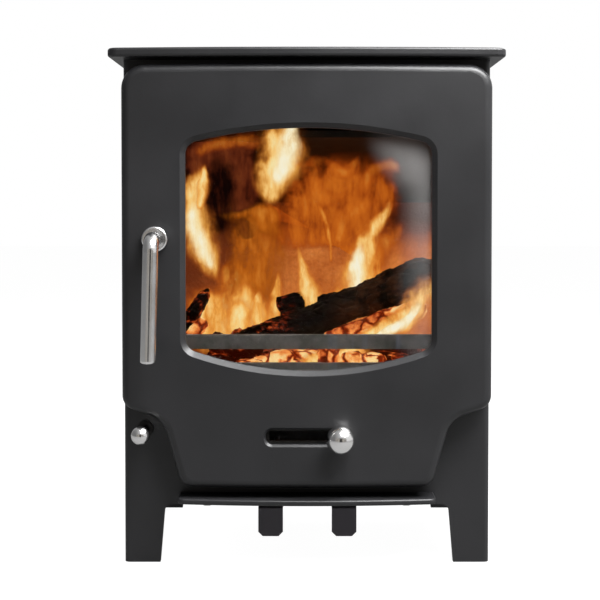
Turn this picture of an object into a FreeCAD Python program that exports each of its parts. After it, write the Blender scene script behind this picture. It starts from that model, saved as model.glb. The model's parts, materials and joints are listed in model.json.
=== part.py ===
import FreeCAD, Part
import math
import os
from types import SimpleNamespace
import Sketcher

# A compact multi-fuel stove. Lengths are in millimetres.
# X runs to the right as seen from the front, Y to the back and Z up.
# The origin is on the floor, in the middle of the stove's width and depth.
# "Ahead" is a distance in front of the front frame's face, "behind" one at its back.

SIZES = {
    # Cast body
    "stove_height": 570,
    "body_width": 407.5,
    "body_depth": 285,
    "wall": 6,
    "frame_thickness": 8,
    "return_depth": 26,
    "body_corner_radius": 6,
    "leg_height": 65,
    "leg_foot_width": 39.8,
    "leg_top_width": 45.3,
    "leg_fillet": 9,
    # Door opening in the front frame, and the rope that seals it
    "rope_side_inset": 52.3,
    "rope_step_inset": 25,
    "rope_top_inset": 39,
    "rope_step_rise": 2.5,
    "rope_foot_inset": 13,
    "rope_corner": 12,
    "rope_width": 9.2,
    "rope_depth": 9.2,
    "rope_rounding": 4.2,
    "rope_gap": 0.3,
    "groove_width": 9.8,
    "groove_depth": 5,
    "rib_width": 12,
    "rib_depth": 24,
    "aperture_inset": 10,
    # Top plate and the blanked top outlet
    "plate_thickness": 10,
    "plate_side_overhang": 13.25,
    "plate_front_overhang": 35,
    "plate_bow": 10,
    "plate_rear_overhang": 6,
    "plate_corner_radius": 12,
    "plate_edge_radius": 3,
    "outlet_radius": 60,
    "outlet_rebate_width": 8,
    "outlet_rebate_depth": 5,
    "outlet_from_back": 95,
    "blanking_clearance": 0.5,
    "clamp_length": 146,
    "clamp_width": 24,
    "clamp_thickness": 6,
    "blanking_bolt_bite": 3,
    # Base, ash pan rails and ledges
    "base_height": 96,
    "rail_width": 10,
    "rail_inset": 14,
    "ledge_height": 180,
    "ledge_thickness": 6,
    "ledge_overlap": 15,
    "ledge_drop": 20,
    # Ash lip
    "lip_height": 72,
    "lip_thickness": 6.5,
    "lip_side_margin": 4.8,
    "lip_end_reach": 35,
    "lip_bow": 10,
    "lip_corner_radius": 9,
    "lip_edge_radius": 2.5,
    "lip_flange_drop": 6,
    "lip_flange_thickness": 6,
    "lip_flange_inset": 22,
    "lip_screw_bite": 8,
    "lip_screw_inset": 30,
    # Hearth heat shield
    "shield_height": 56.5,
    "shield_thickness": 2,
    "shield_inset": 53.75,
    "shield_front": 40,
    "shield_back_gap": 31,
    "shield_corner": 12,
    "tab_front": 14,
    "tab_bend_radius": 1.8,
    "tab_foot_height": 25.6,
    "tab_left_start": -54.8,
    "tab_right_start": 28.2,
    "tab_width": 27.85,
    "tab_chamfer": 5,
    "spacer_radius": 6,
    "spacer_side_inset": 35,
    "spacer_front_inset": 15,
    "spacer_back_inset": 29,
    "shield_bolt_radius": 3,
    "shield_bolt_head_radius": 6,
    "shield_bolt_head_height": 4,
    # Flue collar
    "flue_drop": 82,
    "flue_radius": 63.5,
    "collar_wall": 5,
    "collar_reach": 40,
    "flue_hole_margin": 2.5,
    "collar_flange_radius": 81,
    "collar_flange_thickness": 7,
    "collar_bevel": 1.5,
    "collar_bolt_circle": 74.8,
    "collar_bolt_radius": 3,
    "collar_bolt_head_radius": 5.4,
    "collar_bolt_head_height": 5,
    # Firebricks and baffle
    "brick_thickness": 25,
    "brick_side_gap": 7.75,
    "brick_front_gap": 2,
    "rear_brick_gap": 8,
    "upper_brick_height": 50.2,
    "baffle_rear_drop": 160,
    "baffle_front_drop": 64,
    "baffle_thickness": 8,
    "baffle_play": 2,
    "baffle_throat": 52,
    # Grate, riddling rod and log guard
    "grate_thickness": 12,
    "grate_play": 0.5,
    "disc_margin": 24,
    "disc_clearance": 0.6,
    "disc_thickness": 7.7,
    "disc_gap": 0.3,
    "disc_ledge": 6,
    "disc_slot_width": 9,
    "disc_slot_margin": 12,
    "disc_bridge": 12,
    "disc_slot_count": 7,
    "corner_slot_length": 30,
    "pin_inset": 14,
    "pin_radius": 3,
    "pin_foot_height": 159,
    "yoke_play": 1.3,
    "yoke_end_inset": 14,
    "yoke_hub_half_width": 8,
    "yoke_hub_foot": 143,
    "yoke_height": 158,
    "yoke_thickness": 6,
    "yoke_width": 16,
    "rod_inset": 23.75,
    "rod_height": 150,
    "rod_radius": 4,
    "rod_reach": 43,
    "rod_tail_margin": 10,
    "running_gap": 0.06,
    "riddle_knob_radius": 10,
    "riddle_knob_centre": 49,
    "riddle_neck_radius": 5.5,
    "riddle_neck_length": 3,
    "bush_radius": 6.5,
    "bush_flange_radius": 9,
    "bush_flange_thickness": 3,
    "bush_tail": 6,
    "guide_setback": 70,
    "guide_thickness": 4,
    "guide_half_height": 10,
    "guide_reach": 25,
    "guard_inset": 10,
    "guard_height": 254,
    "guard_bar_height": 16,
    "guard_gap_height": 16,
    "guard_post_width": 13,
    "guard_setback": 12,
    "guard_thickness": 10,
    "guard_edge_radius": 2,
    # Tie rods
    "tie_inset": 19.75,
    "tie_top_drop": 15,
    "tie_foot_height": 84,
    "tie_radius": 4,
    "tie_boss_radius": 8,
    "tie_boss_length": 8,
    "tie_tail": 6,
    "nut_radius": 7.5,
    "nut_height": 6,
    # Airwash deflector
    "deflector_inset": 5,
    "deflector_thickness": 2.5,
    "deflector_lift": 1.5,
    "deflector_rise": 26,
    "deflector_reach": 26,
    # Door casting
    "door_side_inset": 1.45,
    "door_top_drop": 8,
    "door_top_bow": 2,
    "door_foot": 91,
    "door_foot_sag": 2,
    "door_gap": 4.5,
    "door_depth": 33.5,
    "door_bow": 4,
    "door_skin": 7,
    "door_wall": 8,
    "door_edge_radius": 9.5,
    "door_top_radius": 26,
    "shoulder_height": 179.5,
    "shoulder_radius": 16,
    "waist_inset": 45,
    "waist_height": 163.7,
    "waist_radius": 30,
    "foot_inset": 20.1,
    "foot_radius": 16,
    # Window
    "window_centre": 2,
    "window_inset": 67.9,
    "window_top_drop": 86,
    "window_top_bow": 17.5,
    "window_foot": 243,
    "window_foot_sag": 24.5,
    "window_corner_radius": 15,
    "window_bevel": 5.5,
    "glass_centre": 1,
    "glass_side_margin": 7.9,
    "glass_top_margin": 26,
    "glass_foot_margin": 33,
    "glass_corner_radius": 8,
    "glass_thickness": 4,
    "gasket_thickness": 2,
    "gasket_width": 7,
    "bar_inset": 17.3,
    "bar_thickness": 3,
    "bar_overlap": 8,
    "bar_foot_length": 11.5,
    "bar_screw_inset": 35,
    "screw_radius": 2,
    "screw_head_radius": 3.8,
    "screw_head_height": 2,
    "screw_bite": 5,
    # Air control
    "slot_height": 146.3,
    "slot_half_height": 8.2,
    "slot_end_flat": 0.4,
    "slot_bevel": 2.4,
    "slide_thickness": 2.3,
    "slide_gap": 0.3,
    "slide_half_height": 13,
    "slide_end_gap": 0.2,
    "slide_end_margin": 4,
    "slide_cover_margin": 6.9,
    "air_window_margin": 4.4,
    "air_window_right": 11,
    "air_window_half_height": 5.5,
    "stem_radius": 4,
    "stem_reach": 50,
    "air_knob_radius": 15.8,
    "air_knob_centre": 56.5,
    "air_neck_radius": 7,
    "air_neck_length": 3,
    "guide_end_gap": 2,
    "guide_foot": 9,
    "guide_overlap": 4,
    "guide_lip": 2.4,
    "guide_screw_inset": 17,
    # Handle and latch
    "handle_inset": 37.3,
    "handle_drop": 189.6,
    "handle_forward": 76,
    "handle_bar_radius": 8.4,
    "handle_bend_radius": 13,
    "handle_length": 131.4,
    "handle_lean_angle": 1.5,
    "spindle_tail": 4.8,
    "handle_end_radius": 3,
    "rosette_radius": 14.2,
    "rosette_thickness": 9,
    "rosette_seat_margin": 0.4,
    "rosette_edge_radius": 2.5,
    "spindle_radius": 5,
    "cam_front": 17,
    "cam_thickness": 5,
    "cam_hub_radius": 8.5,
    "cam_reach": 22.8,
    "cam_width": 9,
    "cam_angle": 14,
    "latch_nut_radius": 7.5,
    "latch_nut_height": 5,
    "keeper_play": 1.5,
    "keeper_post": 4,
    "keeper_lip": 13.5,
    "keeper_flange": 20,
    "keeper_flange_thickness": 3.5,
    "keeper_lip_back": 17.6,
    "keeper_lip_thickness": 4.6,
    "keeper_tall": 24,
    "keeper_drop": 1.3,
    "keeper_screw_distance": 12,
    # Hinges
    "hinge_inset": 10.3,
    "hinge_forward": 19.5,
    "hinge_top_drop": 112,
    "hinge_foot_height": 230,
    "lug_height": 12,
    "lug_eye_radius": 6.5,
    "lug_left": 7,
    "lug_right": 1.5,
    "lug_spigot_radius": 4,
    "lug_play": 0.3,
    "hinge_pin_radius": 4,
    "hinge_pin_rise": 18,
    "boss_left": 8,
    "boss_rise": 22,
    "notch_play": 0.8,
    "notch_left": 7.5,
    "notch_forward": 26.6,
    # Ash pan
    "pan_side_play": 7,
    "pan_front": 32,
    "pan_back_gap": 42,
    "pan_height": 36,
    "pan_sheet": 2,
    "pan_lift": 1,
    "pan_corner_radius": 8,
    "pan_handle_half_width": 34,
    "pan_handle_reach": 24,
    "pan_handle_radius": 3,
    # Shared clearances and helpers
    "seat_gap": 0.3,
    "overrun": 5,
    "search_margin": 0.4,
    "far_away": 2000,
}

# Shares of the door wall by which the hollow's slanted corners sit inside the outline
SHOULDER_RISE_SHARE = 0.71
WAIST_INSET_SHARE = 0.82
WAIST_RISE_SHARE = 0.77
FOOT_INSET_SHARE = 0.76

# The pitch of the grate's slots as a share of the disc's slotted radius
DISC_PITCH_SHARE = 0.244

DOC = FreeCAD.newDocument("MultiFuelStove")
NODES = []
ORIGIN_PLANES = {"front": "XZ_Plane", "plan": "XY_Plane", "side": "YZ_Plane"}
TURNS = {
    "X": FreeCAD.Rotation(FreeCAD.Vector(0, 1, 0), 90),
    "Y": FreeCAD.Rotation(FreeCAD.Vector(1, 0, 0), -90),
    "Z": FreeCAD.Rotation(),
}


class Size:
    """A number together with the formula over the sheet's cells that gives it."""

    def __init__(self, value, formula):
        self.value = value
        self.formula = formula

    def joined(self, sign, other, value):
        return Size(value, f"({self.formula} {sign} {other.formula})")

    def __add__(self, other):
        other = as_size(other)
        return self.joined("+", other, self.value + other.value)

    def __radd__(self, other):
        return as_size(other) + self

    def __sub__(self, other):
        other = as_size(other)
        return self.joined("-", other, self.value - other.value)

    def __rsub__(self, other):
        return as_size(other) - self

    def __mul__(self, other):
        other = as_size(other)
        return self.joined("*", other, self.value * other.value)

    def __rmul__(self, other):
        return as_size(other) * self

    def __truediv__(self, other):
        other = as_size(other)
        return self.joined("/", other, self.value / other.value)

    def __neg__(self):
        return 0 - self


def as_size(number):
    """A plain number, such as 0 or 2, taken as a size of its own."""
    if isinstance(number, Size):
        return number
    return Size(float(number), repr(number))


def fill_sheet():
    """Writes the sizes into the document's sheet, one named cell each."""
    sheet = DOC.addObject("Spreadsheet::Sheet", "Sizes")
    for row, (name, value) in enumerate(SIZES.items(), start=1):
        sheet.set(f"A{row}", name)
        sheet.set(f"B{row}", str(value))
        sheet.setAlias(f"B{row}", name)
    DOC.recompute()
    return SimpleNamespace(**{name: Size(float(value), "Sizes." + name) for name, value in SIZES.items()})


size = fill_sheet()
handle_reach = size.handle_forward + size.handle_bar_radius
front_y = (handle_reach - size.body_depth - size.collar_reach) / 2
back_y = front_y + size.body_depth

# Widths and heights of the body, with what lines up with them
half_body = size.body_width / 2
inner_half = half_body - size.wall
plate_width = size.body_width + size.plate_side_overhang * 2
body_top = size.stove_height - size.plate_thickness
base_top = size.base_height + size.wall
tie_half_span = half_body - size.tie_inset
tie_top_height = body_top - size.tie_top_drop
flue_height = body_top - size.flue_drop
shield_half_width = half_body - size.shield_inset
shield_length = size.body_depth - size.shield_front - size.shield_back_gap
rod_x = half_body - size.rod_inset

# The door's outline, with the rope, the window and the handle that follow it
door_half_width = half_body - size.door_side_inset
door_top = body_top - size.door_top_drop
waist_half_width = door_half_width - size.waist_inset
foot_half_width = waist_half_width - size.foot_inset
rope_half_width_top = door_half_width - size.rope_side_inset
rope_half_width_foot = rope_half_width_top - size.rope_step_inset
rope_top = door_top - size.rope_top_inset
rope_step = size.shoulder_height + size.rope_step_rise
rope_foot = size.door_foot + size.rope_foot_inset
window_half_width = door_half_width - size.window_inset
window_top = door_top - size.window_top_drop
glass_half_width = window_half_width + size.glass_side_margin
glass_top = window_top + size.glass_top_margin
glass_foot = size.window_foot - size.glass_foot_margin
bar_half_width = glass_half_width - size.bar_inset
bar_screw_x = bar_half_width - size.bar_screw_inset
hinge_x = door_half_width - size.hinge_inset
hinge_top_height = door_top - size.hinge_top_drop
handle_x = door_half_width - size.handle_inset
handle_height = door_top - size.handle_drop
handle_foot_height = handle_height - size.handle_length
keeper_left = door_half_width - size.door_wall - size.keeper_play
door_end_forward = size.door_gap + size.door_depth - size.door_bow
door_front_forward = size.door_gap + size.door_depth
seat_forward = door_end_forward - size.door_skin
lip_half_width = foot_half_width + size.lip_side_margin
lip_flange_half_width = lip_half_width - size.lip_flange_inset
lip_screw_x = lip_flange_half_width - size.lip_screw_inset
deflector_half_width = rope_half_width_top - size.deflector_inset
deflector_height = rope_top - size.aperture_inset + size.deflector_lift

# The air slot and its slide, at rest at the right end. Closed, the slide's left end
# lies three times as far from the middle as its stem does, with its margins on top.
rib_inside = rope_half_width_foot - size.rib_width / 2
slide_rest = (rib_inside - size.slide_end_gap - size.air_window_margin - size.slide_end_margin) / 3
slot_half_length = slide_rest + size.slot_half_height
slide_travel = slide_rest * 2
air_window_left = slide_travel + size.air_window_margin
slide_left = air_window_left + size.slide_end_margin
slide_right = slide_travel + size.slide_cover_margin
guide_half_length = rib_inside - size.guide_end_gap
guide_screw_x = guide_half_length - size.guide_screw_inset

# The lining, the grate and the ash pan
ledge_top = size.ledge_height + size.ledge_thickness
grate_top = ledge_top + size.grate_thickness
rear_brick_half_width = inner_half - size.brick_side_gap
brick_inner = rear_brick_half_width - size.brick_thickness
baffle_half_width = rear_brick_half_width - size.baffle_play
baffle_rear_height = body_top - size.baffle_rear_drop
baffle_front_height = body_top - size.baffle_front_drop
grate_half_width = brick_inner - size.grate_play
ledge_inner = brick_inner - size.ledge_overlap
guard_half_width = brick_inner - size.guard_inset
pan_floor = rope_foot + size.aperture_inset + size.pan_lift
pan_half_width = rope_half_width_foot - size.aperture_inset - size.pan_side_play
pan_length = size.body_depth - size.wall - size.pan_front - size.pan_back_gap
rail_half_span = pan_half_width - size.rail_inset


def ahead(distance):
    """The Y of a plane in front of the front frame's face."""
    return front_y - distance


def behind(distance):
    """The Y of a plane behind the front frame's face."""
    return front_y + distance


def bind(thing, name, amount):
    """Ties a property of an object to its formula over the sheet."""
    thing.setExpression(name, as_size(amount).formula)


def place(thing, corner, turn=TURNS["Z"]):
    """Puts an object at a point given in sizes, turned as asked."""
    thing.Placement = FreeCAD.Placement(FreeCAD.Vector(*[as_size(part).value for part in corner]), turn)
    for axis, part in zip("xyz", corner):
        bind(thing, "Placement.Base." + axis, part)


def keep(piece):
    """Marks an object as a piece of its own, written under its label."""
    piece.Label = piece.Name
    NODES.append(piece)
    return piece


def box(name, low, high):
    """A block between two opposite corners."""
    block = DOC.addObject("Part::Box", name)
    for side, start, end in zip(("Length", "Width", "Height"), low, high):
        bind(block, side, as_size(end) - start)
    place(block, low)
    return block


def rod(name, radius, axis, start, length):
    """A round bar that runs from a point along one axis."""
    bar = DOC.addObject("Part::Cylinder", name)
    bind(bar, "Radius", radius)
    bind(bar, "Height", length)
    place(bar, start, TURNS[axis])
    return bar


def ball(name, radius, centre):
    """A full ball about a point."""
    sphere = DOC.addObject("Part::Sphere", name)
    bind(sphere, "Radius", radius)
    place(sphere, centre)
    return sphere


def hexagon(name, radius, axis, start, length):
    """A six-sided bar, such as a nut's or a bolt head's outside."""
    bar = DOC.addObject("Part::Prism", name)
    bar.Polygon = 6
    bind(bar, "Circumradius", radius)
    bind(bar, "Height", length)
    place(bar, start, TURNS[axis])
    return bar


def fused(name, pieces):
    """One solid out of several that touch or overlap."""
    union = DOC.addObject("Part::MultiFuse", name)
    union.Shapes = pieces
    union.Refine = True
    return union


def group(name, pieces):
    """Separate solids that share one name, such as a set of screws."""
    together = DOC.addObject("Part::Compound", name)
    together.Links = pieces
    return together


def without(name, base, tools):
    """A solid with one or more others cut out of it."""
    cut = DOC.addObject("Part::Cut", name)
    cut.Base = base
    cut.Tool = tools[0] if len(tools) == 1 else group(name + "_cutters", tools)
    return cut


def new_body(name):
    """An empty body, to be built up from sketches."""
    return DOC.addObject("PartDesign::Body", name)


def sketch_on(body, plane, level, name):
    """A sketch parallel to one of the body's own planes, at a level along that plane's axis."""
    sketch = body.newObject("Sketcher::SketchObject", body.Name + "_" + name)
    role = ORIGIN_PLANES[plane]
    support = [feature for feature in body.Origin.OriginFeatures if feature.Role == role][0]
    sketch.AttachmentSupport = [(support, "")]
    sketch.MapMode = "FlatFace"
    offset = -as_size(level) if plane == "front" else level
    bind(sketch, "AttachmentOffset.Base.z", offset)
    return sketch


def add_constraint(sketch, kind, places, amount):
    """A dimension of a sketch, tied to its formula."""
    number = sketch.addConstraint(Sketcher.Constraint(kind, *places, as_size(amount).value))
    bind(sketch, f"Constraints[{number}]", amount)


def bowed_edge(start, end, bow):
    """An arc between two points that bulges to the right of the way from start to end."""
    along = end - start
    outward = FreeCAD.Vector(along.y, -along.x, 0).normalize()
    middle = (start + end) * 0.5 + outward * bow
    if bow > 0:
        return Part.Arc(start, middle, end)
    return Part.Arc(end, middle, start)


def draw(sketch, corners, bows=None):
    """A closed outline, counter-clockwise; an edge with a bow bulges outwards by it."""
    bows = bows or {}
    first = sketch.GeometryCount
    places = [FreeCAD.Vector(as_size(u).value, as_size(v).value, 0) for u, v in corners]
    edges = []
    ends = []
    for number, start in enumerate(places):
        end = places[(number + 1) % len(places)]
        bow = as_size(bows.get(number, 0))
        edges.append(bowed_edge(start, end, bow.value) if bow.value else Part.LineSegment(start, end))
        ends.append((2, 1) if bow.value < 0 else (1, 2))
    sketch.addGeometry(edges, False)
    for number, (u, v) in enumerate(corners):
        following = (number + 1) % len(corners)
        joint = (first + number, ends[number][1], first + following, ends[following][0])
        sketch.addConstraint(Sketcher.Constraint("Coincident", *joint))
        corner = (-1, 1, first + number, ends[number][0])
        add_constraint(sketch, "DistanceX", corner, u)
        add_constraint(sketch, "DistanceY", corner, v)
    for number, bow in bows.items():
        across = as_size(corners[(number + 1) % len(corners)][0]) - corners[number][0]
        rise = as_size(corners[(number + 1) % len(corners)][1]) - corners[number][1]
        depth = bow if bow.value > 0 else -bow
        radius = ((across * across + rise * rise) / 4 + depth * depth) / (2 * depth)
        add_constraint(sketch, "Radius", (first + number,), radius)


def draw_circle(sketch, u, v, radius):
    """A circle about a point."""
    centre = FreeCAD.Vector(as_size(u).value, as_size(v).value, 0)
    number = sketch.addGeometry(Part.Circle(centre, FreeCAD.Vector(0, 0, 1), radius.value), False)
    add_constraint(sketch, "DistanceX", (-1, 1, number, 3), u)
    add_constraint(sketch, "DistanceY", (-1, 1, number, 3), v)
    add_constraint(sketch, "Radius", (number,), radius)


def pad(body, sketch, length, flip=False):
    """Adds a sketch's outline to the body; forward, up or to the right unless flipped."""
    feature = body.newObject("PartDesign::Pad", sketch.Name + "_pad")
    feature.Profile = sketch
    feature.Reversed = flip
    bind(feature, "Length", length)
    DOC.recompute()
    return feature


def pocket(body, sketch, length, flip=False):
    """Cuts a sketch's outline out of the body; to the back, down or to the left unless flipped."""
    before = body.Shape.Volume
    feature = body.newObject("PartDesign::Pocket", sketch.Name + "_pocket")
    feature.Profile = sketch
    feature.Reversed = flip
    bind(feature, "Length", length)
    DOC.recompute()
    if not body.Shape.Volume < before:
        raise RuntimeError(feature.Name + " cuts nothing")
    return feature


def beside(amount):
    """A narrow span about a value, to find an edge by."""
    return (as_size(amount) - size.search_margin, as_size(amount) + size.search_margin)


ANYWHERE = (-size.far_away, size.far_away)


def edges_in(shape, regions):
    """Names of the edges that lie wholly inside one of the regions, each three spans along X, Y and Z."""
    names = []
    for number, edge in enumerate(shape.Edges, start=1):
        extent = edge.BoundBox
        spans = ((extent.XMin, extent.XMax), (extent.YMin, extent.YMax), (extent.ZMin, extent.ZMax))
        for region in regions:
            if all(low.value < span[0] and span[1] < high.value for span, (low, high) in zip(spans, region)):
                names.append(f"Edge{number}")
                break
    return names


def round_edges(body, name, radius, regions):
    """Rounds the edges that lie in the regions."""
    last = body.Tip
    found = edges_in(last.Shape, regions)
    feature = body.newObject("PartDesign::Fillet", body.Name + "_" + name)
    feature.Base = (last, found)
    bind(feature, "Radius", radius)
    DOC.recompute()
    return feature


def bevel_edges(body, name, width, regions):
    """Bevels the edges that lie in the regions."""
    last = body.Tip
    found = edges_in(last.Shape, regions)
    feature = body.newObject("PartDesign::Chamfer", body.Name + "_" + name)
    feature.Base = (last, found)
    bind(feature, "Size", width)
    DOC.recompute()
    return feature


def through_corner(u, v):
    """The region of an edge that runs from front to back at a place of the front view."""
    return (beside(u), ANYWHERE, beside(v))


def both_sides(u, v):
    """The same, at the left and at the right."""
    return [through_corner(-u, v), through_corner(u, v)]


def rectangle(left, right, low, high):
    """The four corners of a rectangle."""
    return [(left, low), (right, low), (right, high), (left, high)]


def stepped_loop(grow):
    """The door seal's outline, narrower at the foot, moved outwards by an amount."""
    top_half = rope_half_width_top + grow
    foot_half = rope_half_width_foot + grow
    step = rope_step - grow
    foot = rope_foot - grow
    top = rope_top + grow
    return [(-foot_half, foot), (foot_half, foot), (foot_half, step), (top_half, step), (top_half, top),
            (-top_half, top), (-top_half, step), (-foot_half, step)]


def round_loop_corners(body, name, grow):
    """Rounds the outer corners of a stepped loop that was moved outwards by an amount."""
    loop = stepped_loop(grow)
    places = [through_corner(*loop[number]) for number in (0, 1, 3, 4, 5, 6)]
    round_edges(body, name + "_corners", size.rope_corner + grow, places)


def round_loop_steps(body, name, grow):
    """Rounds the two inner corners of a stepped loop, beside its steps."""
    loop = stepped_loop(grow)
    places = [through_corner(*loop[number]) for number in (2, 7)]
    round_edges(body, name + "_steps", size.rope_corner - grow, places)


def cut_stepped_loop(body, name, grow, level, depth, flip=False):
    """Cuts the stepped loop's whole inside, with rounded corners, into a body."""
    sketch = sketch_on(body, "front", level, name)
    draw(sketch, stepped_loop(grow))
    pocket(body, sketch, depth, flip)
    round_loop_corners(body, name, grow)
    round_loop_steps(body, name, grow)


def legged_casting(name, face, opens_back):
    """A front or back casting with its two legs and the returns along its sides."""
    body = new_body(name)
    foot = half_body - size.leg_foot_width
    top = half_body - size.leg_top_width
    outline = sketch_on(body, "front", face, "outline")
    draw(outline, [(-half_body, 0), (-foot, 0), (-top, size.leg_height), (top, size.leg_height), (foot, 0),
                   (half_body, 0), (half_body, body_top), (-half_body, body_top)])
    pad(body, outline, size.return_depth, flip=opens_back)
    round_edges(body, "leg_fillets", size.leg_fillet, both_sides(top, size.leg_height))
    thickness = size.frame_thickness if opens_back else size.wall
    inside = face + thickness if opens_back else face - thickness
    hollow = sketch_on(body, "front", inside, "hollow")
    draw(hollow, rectangle(-inner_half, inner_half, -size.overrun, body_top + size.overrun))
    pocket(body, hollow, size.return_depth, flip=not opens_back)
    corners = [(beside(-half_body), beside(face), ANYWHERE), (beside(half_body), beside(face), ANYWHERE)]
    round_edges(body, "corners", size.body_corner_radius, corners)
    return body


def root(amount):
    """The square root of a size."""
    return Size(math.sqrt(amount.value), f"sqrt({amount.formula})")


lip_screw_height = size.lip_height + size.lip_thickness / 2
keeper_top = handle_height - size.keeper_drop
keeper_middle = keeper_top - size.keeper_tall / 2
keeper_screw_x = keeper_left - size.keeper_flange * 3 / 4
outlet_y = back_y - size.outlet_from_back
rear_brick_face = back_y - size.wall - size.rear_brick_gap - size.brick_thickness
brick_front = behind(size.frame_thickness + size.brick_front_gap)
disc_centre_y = (brick_front + rear_brick_face) / 2
disc_radius = (rear_brick_face - brick_front) / 2 - size.disc_margin
disc_slot_pitch = (disc_radius - size.disc_slot_margin) * DISC_PITCH_SHARE
pin_offset = disc_radius - size.pin_inset
yoke_end = pin_offset - size.yoke_end_inset
disc_bottom = grate_top - size.disc_thickness
hinge_y = ahead(size.hinge_forward)
slide_channel = ahead(seat_forward - size.slide_gap * 2 - size.slide_thickness)
DIAGONAL_SHARE = math.sqrt(0.5)


def keeper_screw_height(side):
    """The height of the keeper's upper (1) or lower (-1) screw."""
    return keeper_middle + size.keeper_screw_distance / 2 * side


def tie_places():
    """The four corners where tie rods run, as places of the front view."""
    for side in (-1, 1):
        for height in (size.tie_foot_height, tie_top_height):
            yield tie_half_span * side, height


def make_front_frame():
    """The front casting, with the door opening and the holes for lugs, keeper, rods and lip."""
    body = legged_casting("front_frame", front_y, True)
    start = ahead(size.overrun)
    depth = size.frame_thickness + size.overrun * 2
    cut_stepped_loop(body, "aperture", -size.aperture_inset, start, depth)
    holes = sketch_on(body, "front", start, "holes")
    for height in (hinge_top_height, size.hinge_foot_height):
        draw_circle(holes, hinge_x, height, size.lug_spigot_radius)
    draw_circle(holes, -rod_x, size.rod_height, size.bush_radius)
    for side in (-1, 1):
        draw_circle(holes, lip_screw_x * side, lip_screw_height, size.screw_radius)
        draw_circle(holes, -keeper_screw_x, keeper_screw_height(side), size.screw_radius)
    pocket(body, holes, depth)
    bosses = sketch_on(body, "front", behind(size.frame_thickness), "bosses")
    for x, height in tie_places():
        draw_circle(bosses, x, height, size.tie_boss_radius)
    pad(body, bosses, size.tie_boss_length, flip=True)
    keep(body)


def make_back_panel():
    """The rear casting, with the flue opening and the holes for collar bolts and tie rods."""
    body = legged_casting("back_panel", back_y, False)
    start = back_y - size.wall - size.overrun
    depth = size.wall + size.overrun * 2
    holes = sketch_on(body, "front", start, "holes")
    draw_circle(holes, 0, flue_height, size.flue_radius + size.flue_hole_margin)
    for x, height in collar_bolt_places():
        draw_circle(holes, x, height, size.collar_bolt_radius)
    for x, height in tie_places():
        draw_circle(holes, x, height, size.tie_radius)
    pocket(body, holes, depth)
    keep(body)


def make_sides():
    """The two side plates, between the castings' returns."""
    front = behind(size.return_depth)
    back = back_y - size.return_depth
    keep(box("left_side_panel", (-half_body, front, size.leg_height), (-inner_half, back, body_top)))
    keep(box("right_side_panel", (inner_half, front, size.leg_height), (half_body, back, body_top)))


def spacer_places():
    """Where the heat shield hangs from the base, as places of the plan."""
    reach = shield_half_width - size.spacer_side_inset
    near = size.shield_front + size.spacer_front_inset
    far = size.shield_front + shield_length - size.spacer_back_inset
    for side in (-1, 1):
        for depth in (near, far):
            yield reach * side, behind(depth)


def make_base():
    """The base plate with its ash pan rails."""
    low = (-inner_half, behind(size.frame_thickness), size.base_height)
    high = (inner_half, back_y - size.wall, base_top)
    plate = box("base_blank", low, high)
    holes = [rod(f"base_hole_{number}", size.shield_bolt_radius, "Z", (x, y, size.base_height - size.overrun),
                 size.wall + size.overrun * 2) for number, (x, y) in enumerate(spacer_places())]
    keep(without("base_plate", plate, holes))
    rail_top = pan_floor - size.seat_gap
    rails = []
    for name, left in (("left_rail", -rail_half_span), ("right_rail", rail_half_span - size.rail_width)):
        low = (left, behind(size.frame_thickness), base_top)
        rails.append(box(name, low, (left + size.rail_width, rear_brick_face, rail_top)))
    keep(group("ash_pan_rails", rails))


def make_ledges():
    """Angle ledges along the sides and the back that carry grate and bricks."""
    back = back_y - size.wall
    pieces = []
    for side, name in ((-1, "left"), (1, "right")):
        body = new_body(name + "_ledge")
        profile = sketch_on(body, "front", back, "profile")
        drop = ledge_top - size.ledge_thickness - size.ledge_drop
        outer = inner_half - size.ledge_thickness
        inner = ledge_inner
        under = size.ledge_height
        if side < 0:
            corners = [(-inner_half, drop), (-outer, drop), (-outer, under), (-inner, under),
                       (-inner, ledge_top), (-inner_half, ledge_top)]
        else:
            corners = [(outer, drop), (inner_half, drop), (inner_half, ledge_top), (inner, ledge_top),
                       (inner, under), (outer, under)]
        draw(profile, corners)
        pad(body, profile, back - behind(size.return_depth))
        pieces.append(body)
    rear_low = (-ledge_inner, rear_brick_face - size.ledge_thickness, size.ledge_height)
    pieces.append(box("rear_ledge", rear_low, (ledge_inner, back, ledge_top)))
    keep(fused("grate_supports", pieces))


def make_top_plate():
    """The overhanging top plate, bowed at the front, with a rebated outlet."""
    body = new_body("top_plate")
    half = plate_width / 2
    front = ahead(size.plate_front_overhang)
    back = back_y + size.plate_rear_overhang
    outline = sketch_on(body, "plan", body_top, "outline")
    draw(outline, rectangle(-half, half, front, back), {0: size.plate_bow})
    pad(body, outline, size.plate_thickness)
    corners = [(beside(x), beside(y), ANYWHERE) for x in (-half, half) for y in (front, back)]
    round_edges(body, "corners", size.plate_corner_radius, corners)
    round_edges(body, "rims", size.plate_edge_radius,
                [(ANYWHERE, ANYWHERE, beside(body_top)), (ANYWHERE, ANYWHERE, beside(size.stove_height))])
    rebate_radius = size.outlet_radius + size.outlet_rebate_width
    for name, radius, depth in (("rebate", rebate_radius, size.outlet_rebate_depth),
                                ("outlet", size.outlet_radius, size.plate_thickness + size.overrun)):
        hole = sketch_on(body, "plan", size.stove_height, name)
        draw_circle(hole, 0, outlet_y, radius)
        pocket(body, hole, depth)
    keep(body)


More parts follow.
